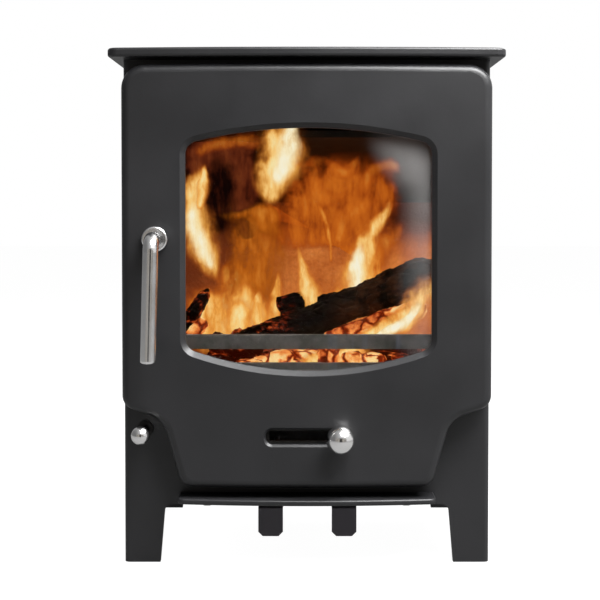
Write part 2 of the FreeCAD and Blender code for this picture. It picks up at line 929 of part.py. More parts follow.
def make_blanking():
    """The cover of the top outlet, held by a bar across the hole from below."""
    radius = size.outlet_radius + size.outlet_rebate_width - size.blanking_clearance
    floor = size.stove_height - size.outlet_rebate_depth
    cover = rod("cover_blank", radius, "Z", (0, outlet_y, floor), size.outlet_rebate_depth)
    plug_radius = size.outlet_radius - size.blanking_clearance
    plug = rod("cover_plug", plug_radius, "Z", (0, outlet_y, body_top), floor - body_top)
    bolt_foot = body_top - size.clamp_thickness
    shank = size.clamp_thickness + size.plate_thickness - size.blanking_bolt_bite
    hole = rod("cover_hole", size.tie_radius, "Z", (0, outlet_y, bolt_foot), shank)
    keep(without("flue_blanking_plate", fused("cover_solid", [cover, plug]), [hole]))
    low = (-size.clamp_length / 2, outlet_y - size.clamp_width / 2, bolt_foot)
    high = (size.clamp_length / 2, outlet_y + size.clamp_width / 2, body_top)
    bar = box("clamp_blank", low, high)
    clamp_hole = rod("clamp_hole", size.tie_radius, "Z", (0, outlet_y, bolt_foot), shank)
    keep(without("blanking_clamp", bar, [clamp_hole]))
    bolt = rod("blanking_shank", size.tie_radius, "Z", (0, outlet_y, bolt_foot), shank)
    head_foot = bolt_foot - size.nut_height
    head = hexagon("blanking_head", size.nut_radius, "Z", (0, outlet_y, head_foot), size.nut_height)
    keep(fused("blanking_bolt", [bolt, head]))


def make_lip():
    """The curved ash lip under the door and its two screws from inside."""
    body = new_body("ash_lip")
    half = lip_half_width
    outline = sketch_on(body, "plan", size.lip_height, "outline")
    draw(outline, rectangle(-half, half, ahead(size.lip_end_reach), front_y), {0: size.lip_bow})
    pad(body, outline, size.lip_thickness)
    corners = [(beside(x), beside(ahead(size.lip_end_reach)), ANYWHERE) for x in (-half, half)]
    round_edges(body, "corners", size.lip_corner_radius, corners)
    front_edges = (ANYWHERE, (-size.far_away, ahead(size.lip_flange_thickness)), ANYWHERE)
    round_edges(body, "rim", size.lip_edge_radius, [front_edges])
    flange = sketch_on(body, "plan", size.lip_height, "flange")
    flange_half = lip_flange_half_width
    draw(flange, rectangle(-flange_half, flange_half, ahead(size.lip_flange_thickness), front_y))
    pad(body, flange, size.lip_flange_drop, flip=True)
    holes = sketch_on(body, "front", front_y, "holes")
    for side in (-1, 1):
        draw_circle(holes, lip_screw_x * side, lip_screw_height, size.screw_radius)
    pocket(body, holes, size.lip_screw_bite, flip=True)
    keep(body)
    screws = []
    for number, side in enumerate((-1, 1)):
        x = lip_screw_x * side
        length = size.lip_screw_bite + size.frame_thickness
        point = (x, ahead(size.lip_screw_bite), lip_screw_height)
        shank = rod(f"lip_shank_{number}", size.screw_radius, "Y", point, length)
        head = rod(f"lip_head_{number}", size.screw_head_radius, "Y",
                   (x, behind(size.frame_thickness), lip_screw_height), size.screw_head_height)
        screws.append(fused(f"lip_screw_{number}", [shank, head]))
    keep(group("lip_screws", screws))


def add_tab(body, name, left, root_y):
    """A tongue that runs forward from the shield's edge and folds down, with bevelled corners."""
    right = left + size.tab_width
    top = size.shield_height + size.shield_thickness
    tongue = sketch_on(body, "plan", size.shield_height, name + "_tongue")
    draw(tongue, rectangle(left, right, behind(size.tab_front), root_y))
    pad(body, tongue, size.shield_thickness)
    tab = sketch_on(body, "front", behind(size.tab_front) + size.shield_thickness, name + "_tab")
    foot = size.tab_foot_height
    bevel = size.tab_chamfer
    draw(tab, [(left + bevel, foot), (right - bevel, foot), (right, foot + bevel), (right, top), (left, top),
               (left, foot + bevel)])
    pad(body, tab, size.shield_thickness)


def make_shield():
    """The heat shield under the base, with two tongues folded down at the front, on spacers."""
    body = new_body("hearth_shield")
    top = size.shield_height + size.shield_thickness
    front = behind(size.shield_front)
    back = front + shield_length
    outline = sketch_on(body, "plan", size.shield_height, "outline")
    draw(outline, rectangle(-shield_half_width, shield_half_width, front, back))
    pad(body, outline, size.shield_thickness)
    add_tab(body, "left", size.tab_left_start, front)
    add_tab(body, "right", size.tab_right_start, front)
    bends = (ANYWHERE, beside(behind(size.tab_front)), beside(top))
    round_edges(body, "bends", size.tab_bend_radius, [bends])
    corners = [(beside(x), beside(y), (size.shield_height - size.search_margin, top + size.search_margin))
               for x in (-shield_half_width, shield_half_width) for y in (front, back)]
    round_edges(body, "corners", size.shield_corner, corners)
    holes = sketch_on(body, "plan", top, "holes")
    for x, y in spacer_places():
        draw_circle(holes, x, y, size.shield_bolt_radius)
    pocket(body, holes, size.shield_thickness + size.overrun)
    keep(body)
    spacers = []
    bolts = []
    for number, (x, y) in enumerate(spacer_places()):
        height = size.base_height - top
        tube = rod(f"spacer_tube_{number}", size.spacer_radius, "Z", (x, y, top), height)
        bore = rod(f"spacer_bore_{number}", size.shield_bolt_radius, "Z", (x, y, top), height)
        spacers.append(without(f"spacer_{number}", tube, [bore]))
        shank = rod(f"shield_shank_{number}", size.shield_bolt_radius, "Z", (x, y, size.shield_height),
                    base_top - size.shield_height)
        head_height = size.shield_bolt_head_height
        head_foot = (x, y, size.shield_height - head_height)
        head = hexagon(f"shield_head_{number}", size.shield_bolt_head_radius, "Z", head_foot, head_height)
        bolts.append(fused(f"shield_bolt_{number}", [shank, head]))
    keep(group("shield_spacers", spacers))
    keep(group("shield_bolts", bolts))


def collar_bolt_places():
    """Where the collar's bolts sit, as places of the front view."""
    reach = size.collar_bolt_circle * DIAGONAL_SHARE
    for across in (-1, 1):
        for up in (-1, 1):
            yield reach * across, flue_height + reach * up


def make_collar():
    """The flue collar on the back, with its bolts."""
    body = new_body("flue_collar")
    flange = sketch_on(body, "front", back_y, "flange")
    draw_circle(flange, 0, flue_height, size.collar_flange_radius)
    pad(body, flange, size.collar_flange_thickness, flip=True)
    tube = sketch_on(body, "front", back_y, "tube")
    draw_circle(tube, 0, flue_height, size.flue_radius + size.collar_wall)
    pad(body, tube, size.collar_reach, flip=True)
    rims = [(ANYWHERE, beside(back_y + size.collar_flange_thickness), ANYWHERE),
            (ANYWHERE, beside(back_y + size.collar_reach), ANYWHERE)]
    bevel_edges(body, "rims", size.collar_bevel, rims)
    bore = sketch_on(body, "front", back_y, "bore")
    draw_circle(bore, 0, flue_height, size.flue_radius)
    pocket(body, bore, size.collar_reach)
    holes = sketch_on(body, "front", back_y, "holes")
    for x, height in collar_bolt_places():
        draw_circle(holes, x, height, size.collar_bolt_radius)
    pocket(body, holes, size.collar_flange_thickness)
    keep(body)
    bolts = []
    for number, (x, height) in enumerate(collar_bolt_places()):
        inside = back_y - size.wall
        outside = back_y + size.collar_flange_thickness
        shank = rod(f"collar_shank_{number}", size.collar_bolt_radius, "Y",
                    (x, inside - size.collar_bolt_head_height, height),
                    outside - inside + size.collar_bolt_head_height)
        head = hexagon(f"collar_head_{number}", size.collar_bolt_head_radius, "Y", (x, outside, height),
                       size.collar_bolt_head_height)
        bolts.append(fused(f"collar_bolt_{number}", [shank, head]))
    keep(group("collar_bolts", bolts))


def make_tie_rods():
    """Four rods that pull the front and back castings together, with nuts at the back."""
    rods = []
    nuts = []
    start = behind(size.frame_thickness + size.tie_boss_length)
    for number, (x, height) in enumerate(tie_places()):
        length = back_y + size.nut_height + size.tie_tail / 2 - start
        rods.append(rod(f"tie_rod_{number}", size.tie_radius, "Y", (x, start, height), length))
        blank = hexagon(f"tie_nut_blank_{number}", size.nut_radius, "Y", (x, back_y, height), size.nut_height)
        hole = rod(f"tie_nut_hole_{number}", size.tie_radius, "Y", (x, back_y, height), size.nut_height)
        nuts.append(without(f"tie_nut_{number}", blank, [hole]))
    keep(group("tie_rods", rods))
    keep(group("tie_nuts", nuts))


def baffle_line(y):
    """The height of the baffle's underside at a depth."""
    slope = (baffle_front_height - baffle_rear_height) / (back_y - size.wall - brick_front)
    return baffle_rear_height + (back_y - size.wall - y) * slope


def make_lining():
    """Firebricks at the sides and the back, and the sloping baffle that lies on them."""
    outer = brick_inner + size.brick_thickness
    front_top = baffle_line(brick_front)
    rear_top = baffle_line(rear_brick_face)
    for name, left in (("left_brick", -outer), ("right_brick", brick_inner)):
        body = new_body(name)
        profile = sketch_on(body, "side", left, "profile")
        draw(profile, [(brick_front, ledge_top), (rear_brick_face, ledge_top), (rear_brick_face, rear_top),
                       (brick_front, front_top)])
        pad(body, profile, size.brick_thickness)
        keep(body)
    half = rear_brick_half_width
    rear = rear_brick_face + size.brick_thickness
    top = baffle_line(rear)
    seam = top - size.upper_brick_height
    keep(box("rear_brick_lower", (-half, rear_brick_face, ledge_top), (half, rear, seam)))
    keep(box("rear_brick_upper", (-half, rear_brick_face, seam), (half, rear, top)))
    body = new_body("baffle")
    profile = sketch_on(body, "side", -baffle_half_width, "profile")
    front = brick_front + size.baffle_throat
    thickness = size.baffle_thickness
    draw(profile, [(front, baffle_line(front)), (rear, top), (rear, top + thickness),
                   (front, baffle_line(front) + thickness)])
    pad(body, profile, baffle_half_width * 2)
    keep(body)


def make_grate():
    """The grate frame with its round seat, and the slotted disc that turns in it."""
    low = (-grate_half_width, brick_front, ledge_top)
    blank = box("grate_blank", low, (grate_half_width, rear_brick_face, grate_top))
    seat_depth = size.disc_thickness + size.disc_gap
    seat_radius = disc_radius + size.disc_clearance
    seat = rod("grate_seat", seat_radius, "Z", (0, disc_centre_y, grate_top - seat_depth), seat_depth)
    eye_radius = disc_radius - size.disc_ledge
    eye = rod("grate_eye", eye_radius, "Z", (0, disc_centre_y, ledge_top), size.grate_thickness)
    cutters = [seat, eye]
    margin = size.disc_slot_margin
    length = size.corner_slot_length
    left = margin - grate_half_width
    right = grate_half_width - margin - length
    for step in (0, 1):
        inset = margin + disc_slot_pitch * step
        near = brick_front + inset
        far = rear_brick_face - inset - size.disc_slot_width
        for name, x, y in (("near_left", left, near), ("near_right", right, near), ("far_left", left, far),
                           ("far_right", right, far)):
            high = (x + length, y + size.disc_slot_width, grate_top)
            cutters.append(box(f"{name}_slot_{step}", (x, y, ledge_top), high))
    keep(without("grate_frame", blank, cutters))
    disc = rod("disc_blank", disc_radius, "Z", (0, disc_centre_y, disc_bottom), size.disc_thickness)
    slots = []
    half_count = int(SIZES["disc_slot_count"]) // 2
    half_width = size.disc_slot_width / 2
    near = size.disc_bridge / 2
    for column in range(-half_count, half_count + 1):
        x = disc_slot_pitch * column
        usable = disc_radius - margin
        reach = root(usable * usable - x * x)
        for name, start, end in (("front", -reach, -near), ("rear", near, reach)):
            low = (x - half_width, disc_centre_y + start, disc_bottom)
            high = (x + half_width, disc_centre_y + end, grate_top)
            slots.append(box(f"disc_slot_{name}_{column + half_count}", low, high))
    keep(without("grate_disc", disc, slots))
    keep(rod("grate_pin", size.pin_radius, "Z", (-pin_offset, disc_centre_y, size.pin_foot_height),
             disc_bottom - size.pin_foot_height))


def make_guard():
    """The log guard behind the glass, a casting of two bars and two posts."""
    body = new_body("log_guard")
    half = guard_half_width
    level = behind(size.guard_setback + size.guard_thickness)
    outline = sketch_on(body, "front", level, "outline")
    draw(outline, rectangle(-half, half, grate_top, size.guard_height))
    pad(body, outline, size.guard_thickness)
    gap = sketch_on(body, "front", behind(size.guard_setback), "gap")
    inner = half - size.guard_post_width
    high = size.guard_height - size.guard_bar_height
    draw(gap, rectangle(-inner, inner, high - size.guard_gap_height, high))
    pocket(body, gap, size.guard_thickness)
    round_edges(body, "top", size.guard_edge_radius, [(ANYWHERE, ANYWHERE, beside(size.guard_height))])
    keep(body)


def make_deflector():
    """The bent strip over the opening that turns air down the glass."""
    body = new_body("airwash_deflector")
    profile = sketch_on(body, "side", -deflector_half_width, "profile")
    back = behind(size.frame_thickness)
    edge = back + size.deflector_reach
    foot = deflector_height
    high = foot + size.deflector_rise
    sheet = size.deflector_thickness
    draw(profile, [(back, foot), (edge, foot), (edge, foot + sheet), (back + sheet, foot + sheet),
                   (back + sheet, high), (back, high)])
    pad(body, profile, deflector_half_width * 2)
    keep(body)


def make_hinges():
    """Two lugs on the frame, each with an upright pin for the door."""
    pins = []
    for name, height in (("upper", hinge_top_height), ("lower", size.hinge_foot_height)):
        foot = height - size.lug_height / 2
        eye = rod(name + "_eye", size.lug_eye_radius, "Z", (hinge_x, hinge_y, foot), size.lug_height)
        low = (hinge_x - size.lug_left, hinge_y, foot)
        arm = box(name + "_arm", low, (hinge_x + size.lug_right, front_y, foot + size.lug_height))
        spigot_start = (hinge_x, front_y - size.lug_right, height)
        spigot_length = size.frame_thickness + size.lug_right
        spigot = rod(name + "_spigot", size.lug_spigot_radius, "Y", spigot_start, spigot_length)
        bore = rod(name + "_bore", size.hinge_pin_radius, "Z", (hinge_x, hinge_y, foot), size.lug_height)
        solid = fused(name + "_lug_solid", [eye, arm, spigot])
        keep(without(name + "_hinge_lug", solid, [bore]))
        pins.append(rod(name + "_pin", size.hinge_pin_radius, "Z", (hinge_x, hinge_y, foot),
                        size.lug_height + size.hinge_pin_rise))
    keep(group("hinge_pins", pins))


def make_keeper():
    """The hooked keeper that the latch closes behind, with its screws."""
    body = new_body("latch_keeper")
    left = -keeper_left
    right = left + size.keeper_flange
    post = left + size.keeper_post
    tip = left + size.keeper_lip
    lip_back = ahead(size.keeper_lip_back)
    lip_front = lip_back - size.keeper_lip_thickness
    flange = ahead(size.keeper_flange_thickness)
    profile = sketch_on(body, "plan", keeper_top - size.keeper_tall, "profile")
    draw(profile, [(left, lip_front), (tip, lip_front), (tip, lip_back), (post, lip_back), (post, flange),
                   (right, flange), (right, front_y), (left, front_y)])
    pad(body, profile, size.keeper_tall)
    holes = sketch_on(body, "front", front_y, "holes")
    screws = []
    for side in (-1, 1):
        height = keeper_screw_height(side)
        draw_circle(holes, -keeper_screw_x, height, size.screw_radius)
        length = size.keeper_flange_thickness + size.frame_thickness
        start = (-keeper_screw_x, ahead(size.keeper_flange_thickness), height)
        shank = rod(f"keeper_shank_{side + 1}", size.screw_radius, "Y", start, length)
        head_start = (-keeper_screw_x, ahead(size.keeper_flange_thickness + size.screw_head_height), height)
        head = rod(f"keeper_head_{side + 1}", size.screw_head_radius, "Y", head_start, size.screw_head_height)
        screws.append(fused(f"keeper_screw_{side + 1}", [shank, head]))
    pocket(body, holes, size.keeper_flange_thickness, flip=True)
    keep(body)
    keep(group("keeper_screws", screws))


def make_riddle_bearings():
    """The bush in the frame and the bracket inside that guide the riddling rod."""
    centre = -rod_x
    bore_radius = size.rod_radius + size.running_gap
    start = ahead(size.bush_flange_thickness)
    length = size.bush_flange_thickness + size.frame_thickness + size.bush_tail
    flange = rod("bush_flange", size.bush_flange_radius, "Y", (centre, start, size.rod_height),
                 size.bush_flange_thickness)
    tube = rod("bush_tube", size.bush_radius, "Y", (centre, start, size.rod_height), length)
    bore = rod("bush_bore", bore_radius, "Y", (centre, start, size.rod_height), length)
    keep(without("riddle_bush", fused("bush_solid", [flange, tube]), [bore]))
    near = behind(size.guide_setback)
    far = near + size.guide_thickness
    low = (-inner_half, near, size.rod_height - size.guide_half_height)
    high = (size.guide_reach - inner_half, far, size.rod_height + size.guide_half_height)
    plate = box("riddle_guide_blank", low, high)
    hole = rod("riddle_guide_hole", bore_radius, "Y", (centre, near, size.rod_height), size.guide_thickness)
    keep(without("riddle_guide", plate, [hole]))


def make_riddling():
    """The riddling rod with its knob, and the yoke that turns the grate disc."""
    centre = -rod_x
    height = size.rod_height
    start = (centre, ahead(size.rod_reach), height)
    length = disc_centre_y + size.rod_tail_margin - ahead(size.rod_reach)
    keep(rod("riddle_rod", size.rod_radius, "Y", start, length))
    head = ball("riddle_ball", size.riddle_knob_radius, (centre, ahead(size.riddle_knob_centre), height))
    neck_start = ahead(size.riddle_knob_centre)
    neck_length = size.riddle_knob_radius + size.riddle_neck_length
    neck = rod("riddle_neck", size.riddle_neck_radius, "Y", (centre, neck_start, height), neck_length)
    hole = rod("riddle_knob_hole", size.rod_radius, "Y", start, size.rod_reach)
    keep(without("riddle_knob", fused("riddle_knob_solid", [head, neck]), [hole]))
    near = disc_centre_y - size.yoke_width / 2
    far = disc_centre_y + size.yoke_width / 2
    arm_top = size.yoke_height + size.yoke_thickness
    arm = box("yoke_arm", (centre, near, size.yoke_height), (-yoke_end, far, arm_top))
    hub = box("yoke_hub", (centre - size.yoke_hub_half_width, near, size.yoke_hub_foot),
              (centre + size.yoke_hub_half_width, far, arm_top))
    rod_hole = rod("yoke_hole", size.rod_radius, "Y", (centre, near, height), size.yoke_width)
    half_slot = size.pin_radius + size.yoke_play
    slot = box("yoke_slot", (-pin_offset - half_slot, disc_centre_y - half_slot, size.yoke_height),
               (size.overrun - yoke_end, disc_centre_y + half_slot, arm_top))
    keep(without("riddle_yoke", fused("yoke_solid", [arm, hub]), [rod_hole, slot]))


def door_corners():
    """The door's outline, wide above the shoulders and narrowed at the foot."""
    half = door_half_width
    shoulder = size.shoulder_height
    waist = size.waist_height
    return [(-foot_half_width, size.door_foot), (foot_half_width, size.door_foot), (waist_half_width, waist),
            (half, shoulder), (half, door_top), (-half, door_top), (-half, shoulder),
            (-waist_half_width, waist)]


def hollow_corners():
    """The inside of the door's outer wall."""
    wall = size.door_wall
    half = door_half_width - wall
    shoulder = size.shoulder_height + wall * SHOULDER_RISE_SHARE
    waist_half = waist_half_width - wall * WAIST_INSET_SHARE
    waist = size.waist_height + wall * WAIST_RISE_SHARE
    foot_half = foot_half_width - wall * FOOT_INSET_SHARE
    foot = size.door_foot + wall
    top = door_top - wall
    return [(-foot_half, foot), (foot_half, foot), (waist_half, waist), (half, shoulder), (half, top),
            (-half, top), (-half, shoulder), (-waist_half, waist)]


def round_door_corners(body, name, corners, shrink):
    """Rounds the four kinds of corner of the door's outline or of its hollow."""
    radii = (("foot", 1, size.foot_radius - shrink), ("waist", 2, size.waist_radius + shrink),
             ("shoulder", 3, size.shoulder_radius - shrink), ("top", 4, size.door_top_radius - shrink))
    for kind, number, radius in radii:
        round_edges(body, f"{name}_{kind}", radius, both_sides(*corners[number]))


def bow_door_front(body):
    """Trims the door's front to a gentle arc in plan."""
    half = door_half_width + size.overrun
    trim = sketch_on(body, "plan", 0, "bow")
    end = ahead(door_end_forward)
    front = ahead(door_front_forward + size.overrun)
    draw(trim, [(-half, front), (half, front), (half, end), (-half, end)], {2: -size.door_bow})
    pocket(body, trim, body_top, flip=True)


def add_hinge_bosses(body):
    """The door's two bosses that sit over the hinge pins, with the notches for the lugs."""
    wall_inside = door_half_width - size.door_wall / 2
    half = size.lug_height / 2
    for name, height in (("upper", hinge_top_height), ("lower", size.hinge_foot_height)):
        foot = height + half + size.lug_play
        boss = sketch_on(body, "plan", foot, name + "_boss")
        left = hinge_x - size.boss_left
        front = ahead(seat_forward + size.seat_gap)
        draw(boss, rectangle(left, wall_inside, front, hinge_y + size.boss_left))
        pad(body, boss, size.boss_rise)
        bore = sketch_on(body, "plan", foot, name + "_bore")
        draw_circle(bore, hinge_x, hinge_y, size.hinge_pin_radius + size.running_gap)
        pocket(body, bore, size.hinge_pin_rise + size.seat_gap, flip=True)
        notch = sketch_on(body, "front", ahead(size.notch_forward), name + "_notch")
        right = door_half_width + size.overrun
        draw(notch, rectangle(hinge_x - size.notch_left, right, height - half - size.notch_play, foot))
        pocket(body, notch, size.notch_forward)


def bar_screw_places():
    """Where the screws of the two glass bars sit, as places of the front view."""
    for side in (-1, 1):
        for step in (-1, 0, 1):
            yield bar_screw_x * step, bar_screw_height(side)


def guide_screw_places():
    """The same for the screws of the two air guides."""
    for side in (-1, 1):
        for step in (-1, 1):
            yield guide_screw_x * step, guide_screw_height(side)


def bar_screw_height(side):
    """The height of the screws of the upper (1) or lower (-1) glass bar."""
    edge = glass_top if side > 0 else glass_foot
    return edge + (size.bar_thickness + size.screw_head_radius + size.seat_gap * 2) * side


def guide_screw_height(side):
    """The height of the screws of the upper (1) or lower (-1) air guide."""
    return size.slot_height + (size.slide_half_height + size.seat_gap + size.guide_foot / 2) * side


def make_door_casting():
    """The one-piece door: pillowed front, S-curved sides, bevelled barrel window and air slot."""
    body = new_body("door_casting")
    rim = ahead(size.door_gap)
    seat = ahead(seat_forward)
    outline = sketch_on(body, "front", rim, "outline")
    draw(outline, door_corners(), {0: size.door_foot_sag, 4: size.door_top_bow})
    pad(body, outline, size.door_depth)
    round_door_corners(body, "outline", door_corners(), 0)
    bow_door_front(body)
    reach = size.search_margin
    front_loop = (ANYWHERE, (ahead(door_front_forward + reach), ahead(door_end_forward - reach)), ANYWHERE)
    round_edges(body, "front_edge", size.door_edge_radius, [front_loop])
    hollow = sketch_on(body, "front", seat, "hollow")
    draw(hollow, hollow_corners())
    pocket(body, hollow, size.door_depth)
    round_door_corners(body, "hollow", hollow_corners(), size.door_wall)
    make_rope_rib(body, rim)
    cut_window(body, seat)
    cut_slot(body, seat)
    add_hinge_bosses(body)
    holes = sketch_on(body, "front", seat, "screw_holes")
    for x, height in (*bar_screw_places(), *guide_screw_places()):
        draw_circle(holes, x, height, size.screw_radius)
    pocket(body, holes, size.screw_bite, flip=True)
    cut_handle_seat(body, seat)
    keep(body)


def make_rope_rib(body, rim):
    """The rib inside the door that carries the rope, with the rope's groove."""
    half_rib = size.rib_width / 2
    rib = sketch_on(body, "front", rim, "rib")
    draw(rib, stepped_loop(half_rib))
    draw(rib, stepped_loop(-half_rib))
    pad(body, rib, size.rib_depth)
    round_loop_corners(body, "rib_inner", -half_rib)
    round_loop_steps(body, "rib_outer", half_rib)
    half_groove = size.groove_width / 2
    groove = sketch_on(body, "front", rim - size.groove_depth, "groove")
    draw(groove, stepped_loop(half_groove))
    draw(groove, stepped_loop(-half_groove))
    pocket(body, groove, size.groove_depth)
    round_loop_corners(body, "groove_inner", -half_groove)
    round_loop_steps(body, "groove_outer", half_groove)


def cut_window(body, seat):
    """The barrel-shaped window with its bevelled edge."""
    left = size.window_centre - window_half_width
    right = size.window_centre + window_half_width
    window = sketch_on(body, "front", seat, "window")
    draw(window, rectangle(left, right, size.window_foot, window_top),
         {0: size.window_foot_sag, 2: size.window_top_bow})
    pocket(body, window, size.door_depth, flip=True)
    heights = (size.window_foot, window_top)
    corners = [through_corner(x, height) for x in (left, right) for height in heights]
    round_edges(body, "window_corners", size.window_corner_radius, corners)
    reach = size.overrun
    front = (ahead(door_front_forward + size.search_margin), ahead(seat_forward + size.door_skin / 2))
    low = size.window_foot - size.window_foot_sag - reach
    high = window_top + size.window_top_bow + reach
    span = ((left - reach, right + reach), front, (low, high))
    bevel_edges(body, "window_bevel", size.window_bevel, [span])


def cut_slot(body, seat):
    """The round-ended slot for the air control's stem."""
    slot = sketch_on(body, "front", seat, "slot")
    half_length = slot_half_length
    half_height = size.slot_half_height
    low = size.slot_height - half_height
    high = size.slot_height + half_height
    draw(slot, rectangle(-half_length, half_length, low, high))
    pocket(body, slot, size.door_depth, flip=True)
    ends = [through_corner(x, z) for x in (-half_length, half_length) for z in (low, high)]
    round_edges(body, "slot_ends", half_height - size.slot_end_flat, ends)
    front = (ahead(door_front_forward + size.search_margin), ahead(seat_forward + size.door_skin / 2))
    reach = size.search_margin
    span = ((-half_length - reach, half_length + reach), front, (low - reach, high + reach))
    bevel_edges(body, "slot_bevel", size.slot_bevel, [span])


def cut_handle_seat(body, seat):
    """The flat round seat of the handle's rosette and the spindle's bore."""
    face = sketch_on(body, "front", ahead(door_end_forward + size.rosette_seat_margin), "rosette_seat")
    draw_circle(face, -handle_x, handle_height, size.rosette_radius + size.seat_gap)
    pocket(body, face, size.door_depth, flip=True)
    bore = sketch_on(body, "front", seat, "spindle_bore")
    draw_circle(bore, -handle_x, handle_height, size.spindle_radius + size.running_gap)
    pocket(body, bore, size.door_depth, flip=True)


def make_glazing():
    """The glass with its flat gasket, behind the door's skin."""
    left = size.glass_centre - glass_half_width
    right = size.glass_centre + glass_half_width
    corners = rectangle(left, right, glass_foot, glass_top)
    gasket = new_body("glass_gasket")
    ring = sketch_on(gasket, "front", ahead(seat_forward - size.gasket_thickness), "ring")
    draw(ring, corners)
    pad(gasket, ring, size.gasket_thickness)
    places = [through_corner(u, v) for u, v in corners]
    round_edges(gasket, "corners", size.glass_corner_radius, places)
    width = size.gasket_width
    opening = sketch_on(gasket, "front", ahead(seat_forward), "opening")
    draw(opening, rectangle(left + width, right - width, size.window_foot - size.window_foot_sag,
                            window_top + size.window_top_bow))
    pocket(gasket, opening, size.gasket_thickness)
    keep(gasket)
    glass = new_body("door_glass")
    glass_back = ahead(seat_forward - size.gasket_thickness - size.glass_thickness)
    pane = sketch_on(glass, "front", glass_back, "pane")
    draw(pane, corners)
    pad(glass, pane, size.glass_thickness)
    round_edges(glass, "corners", size.glass_corner_radius, places)
    keep(glass)


def make_glass_bar(name, side):
    """A folded bar that presses the glass against its gasket; side is 1 above and -1 below."""
    edge = glass_top if side > 0 else glass_foot
    foot_start = edge + size.seat_gap * side
    foot_end = foot_start + size.bar_foot_length * side
    web = foot_start + size.bar_thickness * side
    lip = edge - size.bar_overlap * side
    glass_back = ahead(seat_forward - size.gasket_thickness - size.glass_thickness)
    lip_back = glass_back + size.bar_thickness
    seat = ahead(seat_forward)
    foot_back = seat + size.bar_thickness
    body = new_body(name)
    profile = sketch_on(body, "side", -bar_half_width, "profile")
    corners = [(glass_back, lip), (lip_back, lip), (lip_back, web), (foot_back, web), (foot_back, foot_end),
               (seat, foot_end), (seat, foot_start), (glass_back, foot_start)]
    draw(profile, corners)
    pad(body, profile, bar_half_width * 2)
    holes = sketch_on(body, "front", foot_back, "holes")
    for step in (-1, 0, 1):
        draw_circle(holes, bar_screw_x * step, bar_screw_height(side), size.screw_radius)
    pocket(body, holes, size.bar_thickness, flip=True)
    keep(body)


def make_air_guide(name, side):
    """A folded strip that holds the air slide against the door; side is 1 above and -1 below."""
    seat = ahead(seat_forward)
    inner = size.slot_height + (size.slide_half_height + size.seat_gap) * side
    outer = inner + size.guide_foot * side
    lip = inner - size.guide_overlap * side
    back = slide_channel + size.guide_lip
    body = new_body(name)
    profile = sketch_on(body, "side", -guide_half_length, "profile")
    corners = [(seat, inner), (slide_channel, inner), (slide_channel, lip), (back, lip), (back, outer),
               (seat, outer)]
    draw(profile, corners)
    pad(body, profile, guide_half_length * 2)
    holes = sketch_on(body, "front", back, "holes")
    for step in (-1, 1):
        draw_circle(holes, guide_screw_x * step, guide_screw_height(side), size.screw_radius)
    pocket(body, holes, back - seat, flip=True)
    return body


def make_screws(name, places, face):
    """Screws that bite into the door's skin, with round heads on the face that they hold."""
    point = ahead(seat_forward + size.screw_bite)
    screws = []
    for number, (x, height) in enumerate(places):
        shank = rod(f"{name}_shank_{number}", size.screw_radius, "Y", (x, point, height), face - point)
        head = rod(f"{name}_head_{number}", size.screw_head_radius, "Y", (x, face, height),
                   size.screw_head_height)
        screws.append(fused(f"{name}_screw_{number}", [shank, head]))
    keep(group(name, screws))


def make_rope():
    """The sealing rope, bedded in the door's groove all the way round."""
    body = new_body("door_rope")
    half = size.rope_width / 2
    start = ahead(size.rope_gap)
    ring = sketch_on(body, "front", start, "ring")
    draw(ring, stepped_loop(half))
    pad(body, ring, size.rope_depth)
    round_loop_corners(body, "ring", half)
    round_loop_steps(body, "ring", half)
    cut_stepped_loop(body, "inside", -half, start, size.rope_depth, flip=True)
    faces = [(ANYWHERE, beside(start), ANYWHERE), (ANYWHERE, beside(start - size.rope_depth), ANYWHERE)]
    round_edges(body, "section", size.rope_rounding, faces)
    keep(body)


def make_air_slide():
    """The air slide behind the slot, with its stem and ball knob."""
    rest = slide_rest
    front = ahead(seat_forward - size.slide_gap)
    height = size.slot_height
    low = (rest - slide_left, front, height - size.slide_half_height)
    high = (rest + slide_right, front + size.slide_thickness, height + size.slide_half_height)
    plate = box("slide_blank", low, high)
    half_window = size.air_window_half_height
    window = box("slide_window", (rest - air_window_left, front, height - half_window),
                 (rest - size.air_window_right, front + size.slide_thickness, height + half_window))
    tip = (rest, ahead(size.stem_reach), height)
    stem_length = front + size.slide_thickness - ahead(size.stem_reach)
    hole = rod("slide_hole", size.stem_radius, "Y", tip, stem_length)
    keep(without("air_slide_plate", plate, [window, hole]))
    keep(rod("air_knob_stem", size.stem_radius, "Y", tip, stem_length))
    head = ball("air_ball", size.air_knob_radius, (rest, ahead(size.air_knob_centre), height))
    neck = rod("air_neck", size.air_neck_radius, "Y", (rest, ahead(size.air_knob_centre), height),
               size.air_knob_radius + size.air_neck_length)
    bore = rod("air_knob_bore", size.stem_radius, "Y", tip, size.stem_reach)
    keep(without("air_knob", fused("air_knob_solid", [head, neck]), [bore]))


def make_rosette():
    """The round rosette that the handle comes out of."""
    seat = ahead(door_end_forward + size.rosette_seat_margin)
    body = new_body("handle_rosette")
    disc = sketch_on(body, "front", seat, "disc")
    draw_circle(disc, -handle_x, handle_height, size.rosette_radius)
    pad(body, disc, size.rosette_thickness)
    round_edges(body, "rim", size.rosette_edge_radius,
                [(ANYWHERE, beside(seat - size.rosette_thickness), ANYWHERE)])
    bore = sketch_on(body, "front", seat, "bore")
    draw_circle(bore, -handle_x, handle_height, size.handle_bar_radius + size.running_gap)
    pocket(body, bore, size.rosette_thickness, flip=True)
    keep(body)


def turned_body(name, angle):
    """A body on the spindle's axis at the frame's face, turned about it."""
    body = new_body(name)
    place(body, (-handle_x, front_y, handle_height))
    turn = FreeCAD.Rotation(FreeCAD.Vector(0, 1, 0), angle.value)
    body.Placement = FreeCAD.Placement(body.Placement.Base, turn)
    bind(body, "Placement.Rotation.Angle", angle)
    return body


